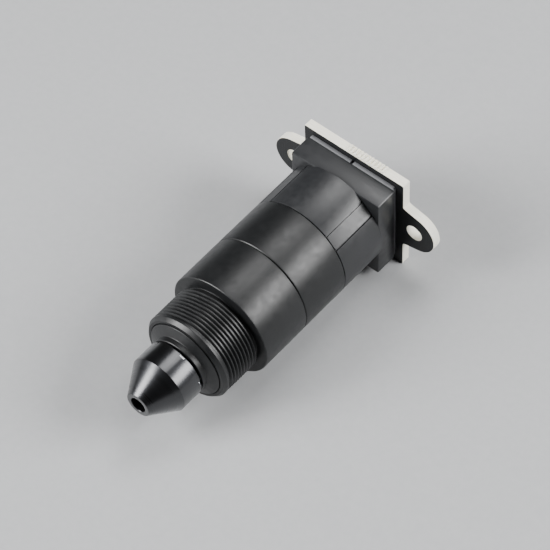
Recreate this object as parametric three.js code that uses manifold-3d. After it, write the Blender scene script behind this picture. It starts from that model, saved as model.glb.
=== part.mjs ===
// Ultrasonic distance sensor: a round three-part barrel on a square flange, screwed to a small circuit board
// with two mounting ears. A transducer sits behind the threaded collar and sounds through a horn and a nozzle.
// Millimetres. The barrel's axis is Y and the nozzle looks along -Y; X is across the ears and +Z is up.
// Every piece is drawn about the barrel's axis with the board's front face at y = 0, and the group at the
// end lifts the whole sensor so that its origin is the bottom centre of its outline.
import * as THREE from "three";
import { mergeVertices } from "three/addons/utils/BufferGeometryUtils.js";
import Module from "manifold-3d";

const wasm = await Module();
wasm.setup();

// ---- Driving dimensions ----

// Stations along the axis, from the nozzle's tip to the board.
const TIP_Y = -51.95;
const CONE_Y = -47.15;
const NOZZLE_REAR_Y = -43.1;
const BOSS_FRONT_Y = -42.7;
const BOSS_BASE_Y = -41.75;
const COLLAR_FACE_Y = -40.95;
const SHOULDER_Y = -32.75;
const FRONT_SEAM_Y = -23.15;
const REAR_SEAM_Y = -13.65;
const FLANGE_FRONT_Y = -4.7;
const FLANGE_BACK_Y = -0.6;

// Radii of the turned and moulded shells.
const TIP_R = 2.2;
const NOZZLE_R = 5.2;
const BOSS_R = 5.15;
const COLLAR_FACE_R = 7.4;
const THREAD_CREST_R = 8;
const THREAD_ROOT_R = 7.6;
const BARREL_R = 9.45;
const BARREL_BORE_R = 8.2;
const COLLAR_BORE_R = 6.15;
const SPIGOT_R = 8.1;
const SPIGOT_BORE_R = 7.2;
const SPIGOT_REACH = 3; // how far a shell's spigot reaches into the shell ahead of it
const SPIGOT_STEP = 1; // how far its thick wall carries on behind the seam
const SHOULDER_WALL = 1.2; // the wall behind the front barrel's shoulder

// The collar's thread.
const THREAD_PITCH = 0.68;
const THREAD_TURNS = 11;
const COLLAR_CHAMFER = 0.45;
const EDGE = 0.15; // the small chamfer on a shell's outer edges
const SEAM = 0.1; // the gap between two shells
const SLIP = 0.1; // the clearance round a piece that is pushed into a bore
const OVERCUT = 1; // how far a cutter runs out of the piece it cuts

// The nozzle's stem in its bush.
const STEM_R = 3.25;
const STEM_END_Y = -37.5;
const BUSH_BORE_R = 3.4;
const BUSH_END_Y = -37.2;
const BUSH_RIM_R = 6.9;
const BUSH_RIM_Y = -40.1;
const TIP_BORE_R = 1.4;
const STEM_BORE_R = 2.3;
const NOTCHES = 6;
const NOTCH = { wide: 0.9, deep: 0.5, tall: 0.45, firstDeg: 20 };

// Rubber rings: the radius of the ring's centre line, of its cord, and its place along the axis.
const NOZZLE_RING = { r: 3.07, cord: 0.3, y: -40.4 };
const FRONT_RING = { r: 7.85, cord: 0.32, y: -24.6 };
const REAR_RING = { r: 7.85, cord: 0.32, y: -15.1 };
const RING_GROOVE = 0.38; // half the width of a ring's groove
const RING_SLACK = 0.07; // between a ring and the floor of its groove

// The transducer.
const CAN_R = 6.85;
const CAN_FRONT_Y = -28.9;
const CAN_BACK_Y = -20.7;
const CAN_FACE = 0.8;
const CAN_WALL = 0.6;
const PIEZO = { r: 4, thick: 0.5 };
const DAMPER = { r: 6, thick: 2.2 };
const BASE = { r: 6.1, thick: 1.6, inset: 0.2 };
const POTTING = { front: -20.3, back: -18.6 };
const TERMINAL = { r: 0.35, x: 2.54, hole: 0.5, front: -23.4, back: -17.5 };
const LEAD = { r: 0.5, straight: 3, bow: 1, rise: 2.5, end: 4, steps: 14, arcSteps: 4 };
const HORN_MOUTH_R = 6;

// The square flange and the corner rails of the rear shell.
const FLANGE_W = 17.6;
const FLANGE_H = 17.2;
const RAIL_HALF_DEG = 8.4;
const RAIL_GROOVE = { wide: 0.25, deep: 0.25 };
const RAIL_CUT = { wide: 3, deep: 2 }; // the block that planes a rail flat
const GASKET = { inset: 0.33, lip: 0.15, notch: 0.5 }; // inset at the flange's sides, lip above its top

// The circuit board with its ears.
const BOARD_HALF = 10;
const BOARD_T = 1.6;
const EAR_X = 12.25;
const EAR_R = 3.9;
const EAR_ROOT = 4.5; // half the height of an ear where it leaves the board
const EAR_HOLE_R = 1.5;
const TAB_TEETH = 11; // what is left of the snapped-off panel tab
const TAB_X = -1.35;
const TAB_PITCH = 0.7;
const TAB_H = 0.3;

// The four screws that hold the board to the flange, one towards each corner.
const CORNERS = [[1, 1], [-1, 1], [-1, -1], [1, -1]];
const SCREW_X = 7;
const SCREW_Z = 6.8;
const SCREW = { shank: 0.75, hole: 1, pilot: 0.85, head: 1.7, headH: 0.75, depth: 3.4, slot: 0.4, arm: 2 };

// The board's connector and its chips, each centred at x, z on the board's back face.
const HEADER = { x: 0, z: -6.4, w: 8.4, d: 4.4, h: 5, wall: 0.6, floor: 1 };
const HEADER_PINS = 4;
const HEADER_PITCH = 1.5;
const HEADER_PIN = 0.5;
const HEADER_PIN_H = 4;
const CONTACT_GAP = 0.2;
const TRANSFORMER = { x: 3.2, z: -0.9, w: 6, base: 0.8, r: 2.8, coreR: 1.2, disc: 0.6, h: 4.2, coilR: 2.5 };
const GULL_WING_CHIPS = [
  { name: "driver_chip", x: -1.6, z: 5.2, w: 4.9, d: 3.9, h: 1.5, legs: 4, pitch: 1.27, reach: 1 },
  { name: "amplifier_chip", x: 3.4, z: 5.6, w: 2.9, d: 1.6, h: 1.1, legs: 3, pitch: 0.95, reach: 0.6 },
];
const LEG = { wide: 0.4, thick: 0.2, bury: 0.3 };
const FLAT_PARTS = [
  { name: "microcontroller", x: -3.1, z: -0.9, w: 5, d: 5, h: 0.9, finish: "epoxy" },
  { name: "crystal", x: -7.4, z: 2.9, w: 2.5, d: 3.2, h: 0.8, finish: "tin" },
  { name: "tantalum_capacitor", x: -7.7, z: -2.4, w: 2.2, d: 3.5, h: 1.9, finish: "tantalum" },
  { name: "ceramic_capacitor_1", x: 7.1, z: -3.9, w: 0.9, d: 1.6, h: 0.8, finish: "ceramic" },
  { name: "ceramic_capacitor_2", x: 8.5, z: -3.9, w: 0.9, d: 1.6, h: 0.8, finish: "ceramic" },
  { name: "ceramic_capacitor_3", x: 7.1, z: -1.4, w: 0.9, d: 1.6, h: 0.8, finish: "ceramic" },
  { name: "resistor_1", x: 8.5, z: -1.4, w: 0.8, d: 1.6, h: 0.45, finish: "resistor" },
  { name: "resistor_2", x: 7.1, z: 1.1, w: 0.8, d: 1.6, h: 0.45, finish: "resistor" },
  { name: "resistor_3", x: 8.5, z: 1.1, w: 0.8, d: 1.6, h: 0.45, finish: "resistor" },
  { name: "status_light", x: 8.5, z: 3.9, w: 0.8, d: 1.6, h: 0.7, finish: "lens" },
];

// Segments round a full turn: large shells, small turned pieces, pins and wires.
const SHELL_SIDES = 36;
const SMALL_SIDES = 24;
const PIN_SIDES = 10;
const CORD_SIDES = 6;
const ARC_STEPS = 7; // steps along each quarter turn or so of a flat outline

// ---- Materials ----

const FINISHES = {
  nozzleBlack: { color: 0x16171a, roughness: 0.22, metalness: 0.9 },
  barrelBlack: { color: 0x1c1d1f, roughness: 0.5, metalness: 0.1 },
  shellBlack: { color: 0x202123, roughness: 0.55, metalness: 0 },
  rubber: { color: 0x111111, roughness: 0.8, metalness: 0 },
  gasket: { color: 0x5b5c5e, roughness: 0.7, metalness: 0 },
  board: { color: 0x0e0f10, roughness: 0.35, metalness: 0 },
  aluminium: { color: 0xb8babd, roughness: 0.35, metalness: 1 },
  silver: { color: 0xd8d8d6, roughness: 0.4, metalness: 1 },
  horn: { color: 0x2b2c2e, roughness: 0.6, metalness: 0 },
  foam: { color: 0x6d6f72, roughness: 0.95, metalness: 0 },
  resin: { color: 0x33302b, roughness: 0.4, metalness: 0 },
  phenolic: { color: 0x7a4a2a, roughness: 0.6, metalness: 0 },
  redWire: { color: 0x9c1c1c, roughness: 0.5, metalness: 0 },
  blackWire: { color: 0x141414, roughness: 0.5, metalness: 0 },
  steel: { color: 0x8a8c8f, roughness: 0.35, metalness: 1 },
  nylon: { color: 0xdedbd0, roughness: 0.5, metalness: 0 },
  tin: { color: 0xc9cacb, roughness: 0.3, metalness: 1 },
  epoxy: { color: 0x1a1a1b, roughness: 0.6, metalness: 0 },
  ferrite: { color: 0x2e2d2c, roughness: 0.7, metalness: 0 },
  copper: { color: 0xa65a2e, roughness: 0.35, metalness: 1 },
  tantalum: { color: 0xc9922e, roughness: 0.5, metalness: 0 },
  ceramic: { color: 0xa98f72, roughness: 0.6, metalness: 0 },
  resistor: { color: 0x17181a, roughness: 0.5, metalness: 0 },
  lens: { color: 0xe8e6d8, roughness: 0.25, metalness: 0 },
};

const sensor = new THREE.Group();

function addNode(name, geometry, finish) {
  const mesh = new THREE.Mesh(geometry, new THREE.MeshStandardMaterial(FINISHES[finish]));
  mesh.name = name;
  sensor.add(mesh);
}

// ---- Shape helpers ----

function degrees(angle) {
  return THREE.MathUtils.degToRad(angle);
}

// A closed geometry as a solid that can be joined and cut.
function solidOf(geometry) {
  const bare = geometry.clone();
  bare.deleteAttribute("normal");
  bare.deleteAttribute("uv");
  const merged = mergeVertices(bare, 1e-4);
  const vertProperties = new Float32Array(merged.attributes.position.array);
  const triVerts = new Uint32Array(merged.index.array);
  return new wasm.Manifold(new wasm.Mesh({ numProp: 3, vertProperties, triVerts }));
}

function geometryOf(solid) {
  const mesh = solid.getMesh();
  const geometry = new THREE.BufferGeometry();
  geometry.setAttribute("position", new THREE.BufferAttribute(new Float32Array(mesh.vertProperties), 3));
  geometry.setIndex(new THREE.BufferAttribute(new Uint32Array(mesh.triVerts), 1));
  geometry.computeVertexNormals();
  return geometry;
}

function cut(geometry, cutters) {
  const body = cutters.reduce((left, cutter) => left.subtract(solidOf(cutter)), solidOf(geometry));
  return geometryOf(body);
}

function join(geometries) {
  return geometryOf(geometries.map(solidOf).reduce((whole, next) => whole.add(next)));
}

// A ring turned about the Y axis from a closed [radius, y] outline that runs rearwards along its outer wall.
function turned(outline, sides = SHELL_SIDES) {
  const points = [...outline, outline[0]].map(([r, y]) => new THREE.Vector2(r, y));
  return new THREE.LatheGeometry(points, sides);
}

function rod(radius, front, back, sides = PIN_SIDES) {
  return new THREE.CylinderGeometry(radius, radius, back - front, sides).translate(0, (front + back) / 2, 0);
}

function tube(outer, inner, front, back, sides = SMALL_SIDES) {
  return turned([[outer, front], [outer, back], [inner, back], [inner, front]], sides);
}

function rubberRing({ r, cord, y }) {
  return new THREE.TorusGeometry(r, cord, CORD_SIDES, SHELL_SIDES).rotateX(Math.PI / 2).translate(0, y, 0);
}

// A block from its centre in X and Z, its width, its height in Z, and the two Y planes it spans.
function block(x, z, w, d, front, back) {
  return new THREE.BoxGeometry(w, back - front, d).translate(x, (front + back) / 2, z);
}

// A flat outline in X and Z, pushed rearwards from one Y plane to another.
function plate(shape, front, back) {
  const extrusion = new THREE.ExtrudeGeometry(shape, {
    depth: back - front,
    bevelEnabled: false,
    curveSegments: ARC_STEPS,
  });
  return extrusion.rotateX(Math.PI / 2).translate(0, back, 0);
}

function circlePath(x, z, radius) {
  return new THREE.Path().absarc(x, z, radius, 0, 2 * Math.PI, true);
}

function rectangle(w, h) {
  const corners = CORNERS.map(([sx, sz]) => new THREE.Vector2((sx * w) / 2, (sz * h) / 2));
  return new THREE.Shape(corners);
}

// The groove round a spigot that a rubber ring sits in, as outline points from front to back.
function ringGroove(ring, wallR) {
  const floorR = ring.r - ring.cord - RING_SLACK;
  return [
    [wallR, ring.y - RING_GROOVE],
    [floorR, ring.y - RING_GROOVE],
    [floorR, ring.y + RING_GROOVE],
    [wallR, ring.y + RING_GROOVE],
  ];
}

// ---- Nozzle, its rubber ring and its bush ----

function makeNozzle() {
  const body = turned([
    [TIP_R - EDGE, TIP_Y],
    [TIP_R, TIP_Y + EDGE],
    [NOZZLE_R, CONE_Y],
    [NOZZLE_R, NOZZLE_REAR_Y - EDGE],
    [NOZZLE_R - EDGE, NOZZLE_REAR_Y],
    [STEM_R, NOZZLE_REAR_Y],
    ...ringGroove(NOZZLE_RING, STEM_R),
    [STEM_R, STEM_END_Y],
    [STEM_BORE_R, STEM_END_Y],
    [TIP_BORE_R, CONE_Y],
    [TIP_BORE_R, TIP_Y],
  ]);
  const notches = [];
  for (let i = 0; i < NOTCHES; i++) {
    const turn = degrees(NOTCH.firstDeg + (360 / NOTCHES) * i);
    const front = NOZZLE_REAR_Y - NOTCH.tall;
    const cutter = block(0, NOZZLE_R, NOTCH.wide, 2 * NOTCH.deep, front, NOZZLE_REAR_Y + NOTCH.tall);
    notches.push(cutter.rotateY(turn));
  }
  return cut(body, notches);
}

function makeBush() {
  return turned([
    [BUSH_RIM_R, COLLAR_FACE_Y - EDGE],
    [BUSH_RIM_R, BUSH_RIM_Y],
    [COLLAR_BORE_R - SLIP, BUSH_RIM_Y],
    [COLLAR_BORE_R - SLIP, BUSH_END_Y],
    [BUSH_BORE_R, BUSH_END_Y],
    [BUSH_BORE_R, BOSS_FRONT_Y],
    [BOSS_R - EDGE, BOSS_FRONT_Y],
    [BOSS_R, BOSS_FRONT_Y + EDGE],
    [BOSS_R, BOSS_BASE_Y],
  ]);
}

addNode("nozzle", makeNozzle(), "nozzleBlack");
addNode("nozzle_seal_ring", rubberRing(NOZZLE_RING), "rubber");
addNode("nozzle_bush", makeBush(), "barrelBlack");

// ---- The three shells of the barrel ----

// The thread is drawn as level ridges, one to a turn.
function threadOutline() {
  const points = [];
  const start = COLLAR_FACE_Y + COLLAR_CHAMFER;
  for (let turn = 0; turn < THREAD_TURNS; turn++) {
    const y = start + turn * THREAD_PITCH;
    points.push([THREAD_CREST_R, y], [THREAD_ROOT_R, y + THREAD_PITCH / 2]);
  }
  return points;
}

function makeFrontBarrel() {
  return turned([
    [COLLAR_FACE_R, COLLAR_FACE_Y],
    ...threadOutline(),
    [COLLAR_FACE_R, SHOULDER_Y],
    [THREAD_CREST_R + SLIP, SHOULDER_Y],
    [BARREL_R - EDGE, SHOULDER_Y],
    [BARREL_R, SHOULDER_Y + EDGE],
    [BARREL_R, FRONT_SEAM_Y - SEAM - EDGE],
    [BARREL_R - EDGE, FRONT_SEAM_Y - SEAM],
    [BARREL_BORE_R, FRONT_SEAM_Y - SEAM],
    [BARREL_BORE_R, SHOULDER_Y + SHOULDER_WALL],
    [COLLAR_BORE_R, SHOULDER_Y + SHOULDER_WALL],
    [COLLAR_BORE_R, BUSH_RIM_Y + SLIP],
    [BUSH_RIM_R + SLIP, BUSH_RIM_Y + SLIP],
    [BUSH_RIM_R + SLIP, COLLAR_FACE_Y],
  ]);
}

// A shell's spigot carries a rubber ring into the shell ahead of it.
function spigot(seam, ring) {
  return [
    [SPIGOT_R, seam - SPIGOT_REACH],
    ...ringGroove(ring, SPIGOT_R),
    [SPIGOT_R, seam],
  ];
}

function makeMiddleBarrel() {
  const spigotEnd = FRONT_SEAM_Y + SPIGOT_STEP;
  return turned([
    ...spigot(FRONT_SEAM_Y, FRONT_RING),
    [BARREL_R - EDGE, FRONT_SEAM_Y],
    [BARREL_R, FRONT_SEAM_Y + EDGE],
    [BARREL_R, REAR_SEAM_Y - SEAM - EDGE],
    [BARREL_R - EDGE, REAR_SEAM_Y - SEAM],
    [BARREL_BORE_R, REAR_SEAM_Y - SEAM],
    [BARREL_BORE_R, spigotEnd],
    [SPIGOT_BORE_R, spigotEnd],
    [SPIGOT_BORE_R, FRONT_SEAM_Y - SPIGOT_REACH],
  ]);
}

// The rear shell: a tube joined to a square flange, with a flat rail and two fine grooves at each corner.
function makeRearShell() {
  const shell = turned([
    ...spigot(REAR_SEAM_Y, REAR_RING),
    [BARREL_R - EDGE, REAR_SEAM_Y],
    [BARREL_R, REAR_SEAM_Y + EDGE],
    [BARREL_R, FLANGE_FRONT_Y + EDGE],
    [0, FLANGE_FRONT_Y + EDGE],
    [0, REAR_SEAM_Y - SPIGOT_REACH],
  ]);
  const flange = plate(rectangle(FLANGE_W, FLANGE_H), FLANGE_FRONT_Y, FLANGE_BACK_Y);
  const boreFront = REAR_SEAM_Y - SPIGOT_REACH - OVERCUT;
  const cutters = [rod(SPIGOT_BORE_R, boreFront, FLANGE_BACK_Y + OVERCUT, SHELL_SIDES)];
  const rail = degrees(RAIL_HALF_DEG);
  const flatR = BARREL_R * Math.cos(rail);
  const flatFront = REAR_SEAM_Y - SEAM / 2;
  for (const [sx, sz] of CORNERS) {
    const screwX = sx * SCREW_X;
    const screwZ = sz * SCREW_Z;
    const pilot = rod(SCREW.pilot, FLANGE_BACK_Y - SCREW.depth - SLIP, FLANGE_BACK_Y + EDGE);
    cutters.push(pilot.translate(screwX, 0, screwZ));
    const middle = Math.atan2(sx, sz);
    const above = flatR + RAIL_CUT.deep / 2;
    const plane = block(0, above, RAIL_CUT.wide, RAIL_CUT.deep, flatFront, FLANGE_FRONT_Y);
    cutters.push(plane.rotateY(middle));
    for (const side of [-1, 1]) {
      const groove = block(0, BARREL_R, RAIL_GROOVE.wide, 2 * RAIL_GROOVE.deep, flatFront, FLANGE_FRONT_Y);
      cutters.push(groove.rotateY(middle + side * rail));
    }
  }
  return cut(join([shell, flange]), cutters);
}

addNode("front_barrel", makeFrontBarrel(), "barrelBlack");
addNode("middle_barrel", makeMiddleBarrel(), "barrelBlack");
addNode("rear_shell", makeRearShell(), "shellBlack");
addNode("front_seal_ring", rubberRing(FRONT_RING), "rubber");
addNode("rear_seal_ring", rubberRing(REAR_RING), "rubber");

// ---- Gasket and circuit board ----

function makeGasket() {
  const w = FLANGE_W - 2 * GASKET.inset;
  const h = FLANGE_H + 2 * GASKET.lip;
  const shape = rectangle(w, h);
  shape.holes.push(circlePath(0, 0, SPIGOT_BORE_R));
  for (const [sx, sz] of CORNERS) shape.holes.push(circlePath(sx * SCREW_X, sz * SCREW_Z, SCREW.hole));
  const notch = block(0, h / 2, GASKET.notch, 2 * GASKET.notch, FLANGE_BACK_Y - SLIP, SLIP);
  return cut(plate(shape, FLANGE_BACK_Y, 0), [notch]);
}

// The board's outline, anticlockwise from its bottom right corner: an ear on each side, and along the top
// edge the stubs that are left where a perforated tab was snapped off.
function boardOutline() {
  const shape = new THREE.Shape().moveTo(BOARD_HALF, -BOARD_HALF);
  const lean = Math.atan2(EAR_ROOT - EAR_R, EAR_X - BOARD_HALF);
  const arc = Math.PI / 2 - lean;
  shape.lineTo(BOARD_HALF, -EAR_ROOT).absarc(EAR_X, 0, EAR_R, -arc, arc, false);
  shape.lineTo(BOARD_HALF, EAR_ROOT).lineTo(BOARD_HALF, BOARD_HALF);
  for (let tooth = TAB_TEETH - 1; tooth >= 0; tooth--) {
    const x = TAB_X + tooth * TAB_PITCH;
    const half = TAB_PITCH / 4;
    shape.lineTo(x + half, BOARD_HALF).lineTo(x + half / 2, BOARD_HALF + TAB_H);
    shape.lineTo(x - half / 2, BOARD_HALF + TAB_H).lineTo(x - half, BOARD_HALF);
  }
  shape.lineTo(-BOARD_HALF, BOARD_HALF).lineTo(-BOARD_HALF, EAR_ROOT);
  shape.absarc(-EAR_X, 0, EAR_R, Math.PI - arc, Math.PI + arc, false);
  shape.lineTo(-BOARD_HALF, -EAR_ROOT).lineTo(-BOARD_HALF, -BOARD_HALF);
  return shape;
}

function makeBoard() {
  const shape = boardOutline();
  for (const side of [-1, 1]) shape.holes.push(circlePath(side * EAR_X, 0, EAR_HOLE_R));
  for (const [sx, sz] of CORNERS) shape.holes.push(circlePath(sx * SCREW_X, sz * SCREW_Z, SCREW.hole));
  return plate(shape, 0, BOARD_T);
}

addNode("flange_gasket", makeGasket(), "gasket");
addNode("circuit_board", makeBoard(), "board");

// ---- Transducer and what carries its sound and its signal ----

function makeHorn() {
  const front = BUSH_END_Y + SLIP;
  const step = SHOULDER_Y + SHOULDER_WALL + SLIP;
  const back = CAN_FRONT_Y - SLIP;
  return turned([
    [COLLAR_BORE_R - SLIP, front],
    [COLLAR_BORE_R - SLIP, step],
    [BARREL_BORE_R - SLIP, step],
    [BARREL_BORE_R - SLIP, back],
    [HORN_MOUTH_R, back],
    [STEM_BORE_R, front],
  ], SMALL_SIDES);
}

function makeCan() {
  return turned([
    [0, CAN_FRONT_Y],
    [CAN_R - EDGE, CAN_FRONT_Y],
    [CAN_R, CAN_FRONT_Y + EDGE],
    [CAN_R, CAN_BACK_Y],
    [CAN_R - CAN_WALL, CAN_BACK_Y],
    [CAN_R - CAN_WALL, CAN_FRONT_Y + CAN_FACE],
    [0, CAN_FRONT_Y + CAN_FACE],
  ], SMALL_SIDES);
}

// A round plate with a hole for each terminal.
function terminalPlate(radius, front, back) {
  const shape = new THREE.Shape().absarc(0, 0, radius, 0, 2 * Math.PI);
  for (const side of [-1, 1]) shape.holes.push(circlePath(side * TERMINAL.x, 0, TERMINAL.hole));
  return plate(shape, front, back);
}

// A lead from the end of its terminal to the board's front face, in an easy bend away from the axis.
function makeLead(side) {
  const x = side * TERMINAL.x;
  const start = TERMINAL.back + SLIP;
  const route = new THREE.CatmullRomCurve3([
    new THREE.Vector3(x, start, 0),
    new THREE.Vector3(x, start + LEAD.straight, 0),
    new THREE.Vector3(x + side * LEAD.bow, start / 2, LEAD.rise),
    new THREE.Vector3(x, -LEAD.straight, LEAD.end),
    new THREE.Vector3(x, -SLIP, LEAD.end),
  ]);
  const section = new THREE.Shape().absarc(0, 0, LEAD.r, 0, 2 * Math.PI);
  const sizes = { steps: LEAD.steps, curveSegments: LEAD.arcSteps, extrudePath: route };
  return new THREE.ExtrudeGeometry(section, sizes);
}

const piezoFront = CAN_FRONT_Y + CAN_FACE;
const damperFront = piezoFront + PIEZO.thick + SLIP;
const baseBack = CAN_BACK_Y - BASE.inset;
const bootBack = FRONT_SEAM_Y - SPIGOT_REACH - SLIP;
addNode("focus_horn", makeHorn(), "horn");
addNode("transducer_can", makeCan(), "aluminium");
addNode("piezo_disc", rod(PIEZO.r, piezoFront, piezoFront + PIEZO.thick, SMALL_SIDES), "silver");
addNode("damping_pad", rod(DAMPER.r, damperFront, damperFront + DAMPER.thick, SMALL_SIDES), "foam");
addNode("transducer_base", terminalPlate(BASE.r, baseBack - BASE.thick, baseBack), "phenolic");
const boot = tube(BARREL_BORE_R - SLIP, CAN_R + SLIP / 2, CAN_FRONT_Y + SLIP, bootBack);
addNode("transducer_boot", boot, "rubber");
addNode("potting_plug", terminalPlate(SPIGOT_BORE_R - SLIP, POTTING.front, POTTING.back), "resin");
for (const [side, wire] of [[-1, "redWire"], [1, "blackWire"]]) {
  const label = side < 0 ? "left" : "right";
  const terminal = rod(TERMINAL.r, TERMINAL.front, TERMINAL.back).translate(side * TERMINAL.x, 0, 0);
  addNode("terminal_" + label, terminal, "tin");
  addNode("lead_" + label, makeLead(side), wire);
}

// ---- Screws ----

function makeScrew() {
  const shank = rod(SCREW.shank, FLANGE_BACK_Y - SCREW.depth, BOARD_T + SLIP);
  const head = rod(SCREW.head, BOARD_T, BOARD_T + SCREW.headH, SMALL_SIDES);
  const top = BOARD_T + SCREW.headH;
  const slots = [
    block(0, 0, SCREW.arm, SCREW.slot, top - SCREW.headH / 2, top + SLIP),
    block(0, 0, SCREW.slot, SCREW.arm, top - SCREW.headH / 2, top + SLIP),
  ];
  return cut(join([shank, head]), slots);
}

CORNERS.forEach(([sx, sz], i) => {
  addNode("board_screw_" + (i + 1), makeScrew().translate(sx * SCREW_X, 0, sz * SCREW_Z), "steel");
});

// ---- What is soldered to the board's back face ----

function makeHeader() {
  const { x, z, w, d, h, wall, floor } = HEADER;
  const outer = block(x, z, w, d, BOARD_T, BOARD_T + h);
  const cavity = block(x, z, w - 2 * wall, d - 2 * wall, BOARD_T + floor, BOARD_T + h + OVERCUT);
  const holes = headerPinX().map((pinX) => {
    const size = HEADER_PIN + CONTACT_GAP;
    return block(pinX, z, size, size, BOARD_T - OVERCUT, BOARD_T + floor + OVERCUT);
  });
  return cut(outer, [cavity, ...holes]);
}

function headerPinX() {
  const first = HEADER.x - ((HEADER_PINS - 1) * HEADER_PITCH) / 2;
  return Array.from({ length: HEADER_PINS }, (_, i) => first + i * HEADER_PITCH);
}

// A moulded chip on gull-wing legs, in equal rows above and below it.
function makeChip({ x, z, w, d, h, legs, pitch, reach }) {
  const pieces = [block(x, z, w, d, BOARD_T + LEG.thick / 2, BOARD_T + h)];
  for (const side of [-1, 1]) {
    for (let i = 0; i < legs; i++) {
      const legX = x + (i - (legs - 1) / 2) * pitch;
      const legZ = z + side * (d / 2 + (reach - LEG.bury) / 2);
      pieces.push(block(legX, legZ, LEG.wide, reach + LEG.bury, BOARD_T, BOARD_T + LEG.thick));
    }
  }
  return join(pieces);
}

function makeTransformerCore({ base, r, coreR, disc, h }) {
  const front = BOARD_T + base;
  const back = BOARD_T + h;
  return turned([
    [0, front],
    [r, front],
    [r, front + disc],
    [coreR, front + disc],
    [coreR, back - disc],
    [r, back - disc],
    [r, back],
    [0, back],
  ], SMALL_SIDES);
}

function makeWinding({ base, coreR, disc, h, coilR }) {
  return tube(coilR, coreR + SLIP, BOARD_T + base + disc + SLIP, BOARD_T + h - disc - SLIP);
}

addNode("header_housing", makeHeader(), "nylon");
headerPinX().forEach((x, i) => {
  const pin = block(x, HEADER.z, HEADER_PIN, HEADER_PIN, BOARD_T, BOARD_T + HEADER_PIN_H);
  addNode("header_pin_" + (i + 1), pin, "tin");
});
for (const chip of GULL_WING_CHIPS) addNode(chip.name, makeChip(chip), "epoxy");
for (const { name, x, z, w, d, h, finish } of FLAT_PARTS) {
  addNode(name, block(x, z, w, d, BOARD_T, BOARD_T + h), finish);
}
const { x: coilX, z: coilZ, w: coilW, base: coilBase } = TRANSFORMER;
addNode("transformer_base", block(coilX, coilZ, coilW, coilW, BOARD_T, BOARD_T + coilBase), "epoxy");
addNode("transformer_core", makeTransformerCore(TRANSFORMER).translate(coilX, 0, coilZ), "ferrite");
addNode("transformer_winding", makeWinding(TRANSFORMER).translate(coilX, 0, coilZ), "copper");

// ---- Place the sensor on its origin ----

const backY = BOARD_T + HEADER.h;
sensor.position.set(0, -(TIP_Y + backY) / 2, BOARD_HALF);

export default sensor;
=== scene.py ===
import math

import bmesh
import bpy
from mathutils import Matrix, Vector
from mathutils.geometry import tessellate_polygon


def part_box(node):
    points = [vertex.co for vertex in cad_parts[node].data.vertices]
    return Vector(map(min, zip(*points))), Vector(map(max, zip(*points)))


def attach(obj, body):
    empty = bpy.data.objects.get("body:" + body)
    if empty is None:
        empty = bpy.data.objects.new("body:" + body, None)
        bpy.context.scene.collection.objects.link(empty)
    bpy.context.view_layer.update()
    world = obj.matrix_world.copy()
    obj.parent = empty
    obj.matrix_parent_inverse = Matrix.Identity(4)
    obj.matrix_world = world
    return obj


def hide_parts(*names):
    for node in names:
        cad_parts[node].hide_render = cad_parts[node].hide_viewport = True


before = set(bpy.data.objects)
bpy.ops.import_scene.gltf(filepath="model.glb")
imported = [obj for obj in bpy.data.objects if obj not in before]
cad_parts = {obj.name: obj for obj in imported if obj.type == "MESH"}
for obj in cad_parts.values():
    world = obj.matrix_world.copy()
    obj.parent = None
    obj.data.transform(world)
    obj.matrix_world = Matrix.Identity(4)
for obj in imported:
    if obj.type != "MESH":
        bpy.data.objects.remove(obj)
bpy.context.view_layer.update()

MM = 0.001
board_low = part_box("circuit_board")[0]
nozzle_low, nozzle_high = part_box("nozzle")
AXIS = Vector((0, board_low.y, (nozzle_low.z + nozzle_high.z) / 2))
TO_FRAME = Matrix.Translation(AXIS) @ Matrix.Scale(MM, 4)


def span(node):
    """A CAD node's lowest and highest corner, in millimetres from the barrel's axis and the board's face."""
    return [(corner - AXIS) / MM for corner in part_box(node)]


def reach(node):
    """A turned CAD node's front and back along the axis and its largest radius."""
    low, high = span(node)
    return low.y, high.y, high.x


def footprint(node):
    """A CAD node's centre in X and Z, its width and depth there, and its front and back along the axis."""
    low, high = span(node)
    return (low.x + high.x) / 2, (low.z + high.z) / 2, high.x - low.x, high.z - low.z, low.y, high.y


# ---- Camera, floor and light ----

CAMERA_AZIMUTH = math.radians(41.948)
CAMERA_ELEVATION = math.radians(53.618)
CAMERA_ROLL = math.radians(-2.423)
CAMERA_DISTANCE = 0.4725
CAMERA_TARGET = Vector((0.005044, -0.002525, 0.019390))
CAMERA_LENS = 202.7


def make_camera():
    sin_a, cos_a = math.sin(CAMERA_AZIMUTH), math.cos(CAMERA_AZIMUTH)
    sin_e, cos_e = math.sin(CAMERA_ELEVATION), math.cos(CAMERA_ELEVATION)
    ahead = Vector((-sin_a * cos_e, cos_a * cos_e, -sin_e))
    level = Vector((cos_a, sin_a, 0))
    upright = level.cross(ahead)
    right = level * math.cos(CAMERA_ROLL) + upright * math.sin(CAMERA_ROLL)
    up = upright * math.cos(CAMERA_ROLL) - level * math.sin(CAMERA_ROLL)
    data = bpy.data.cameras.new("camera")
    data.lens = CAMERA_LENS
    data.clip_start, data.clip_end = 0.01, 20
    camera = bpy.data.objects.new("camera", data)
    turn = Matrix((right, up, -ahead)).transposed().to_4x4()
    camera.matrix_world = Matrix.Translation(CAMERA_TARGET - ahead * CAMERA_DISTANCE) @ turn
    bpy.context.scene.collection.objects.link(camera)
    bpy.context.scene.camera = camera


# Each softbox: the direction it lies in from the sensor, its distance, width and height in metres, and its
# power in watts.
SOFTBOXES = {
    "key_softbox": ((0.72, 0.44, 0.53), 0.55, 0.34, 0.26, 5.2),
    "top_softbox": ((-0.06, 0.45, 0.89), 0.60, 0.32, 0.30, 2.3),
    "front_softbox": ((-0.55, -0.68, 0.45), 0.55, 0.22, 0.40, 7.0),
}
AMBIENT = 0.06


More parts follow.
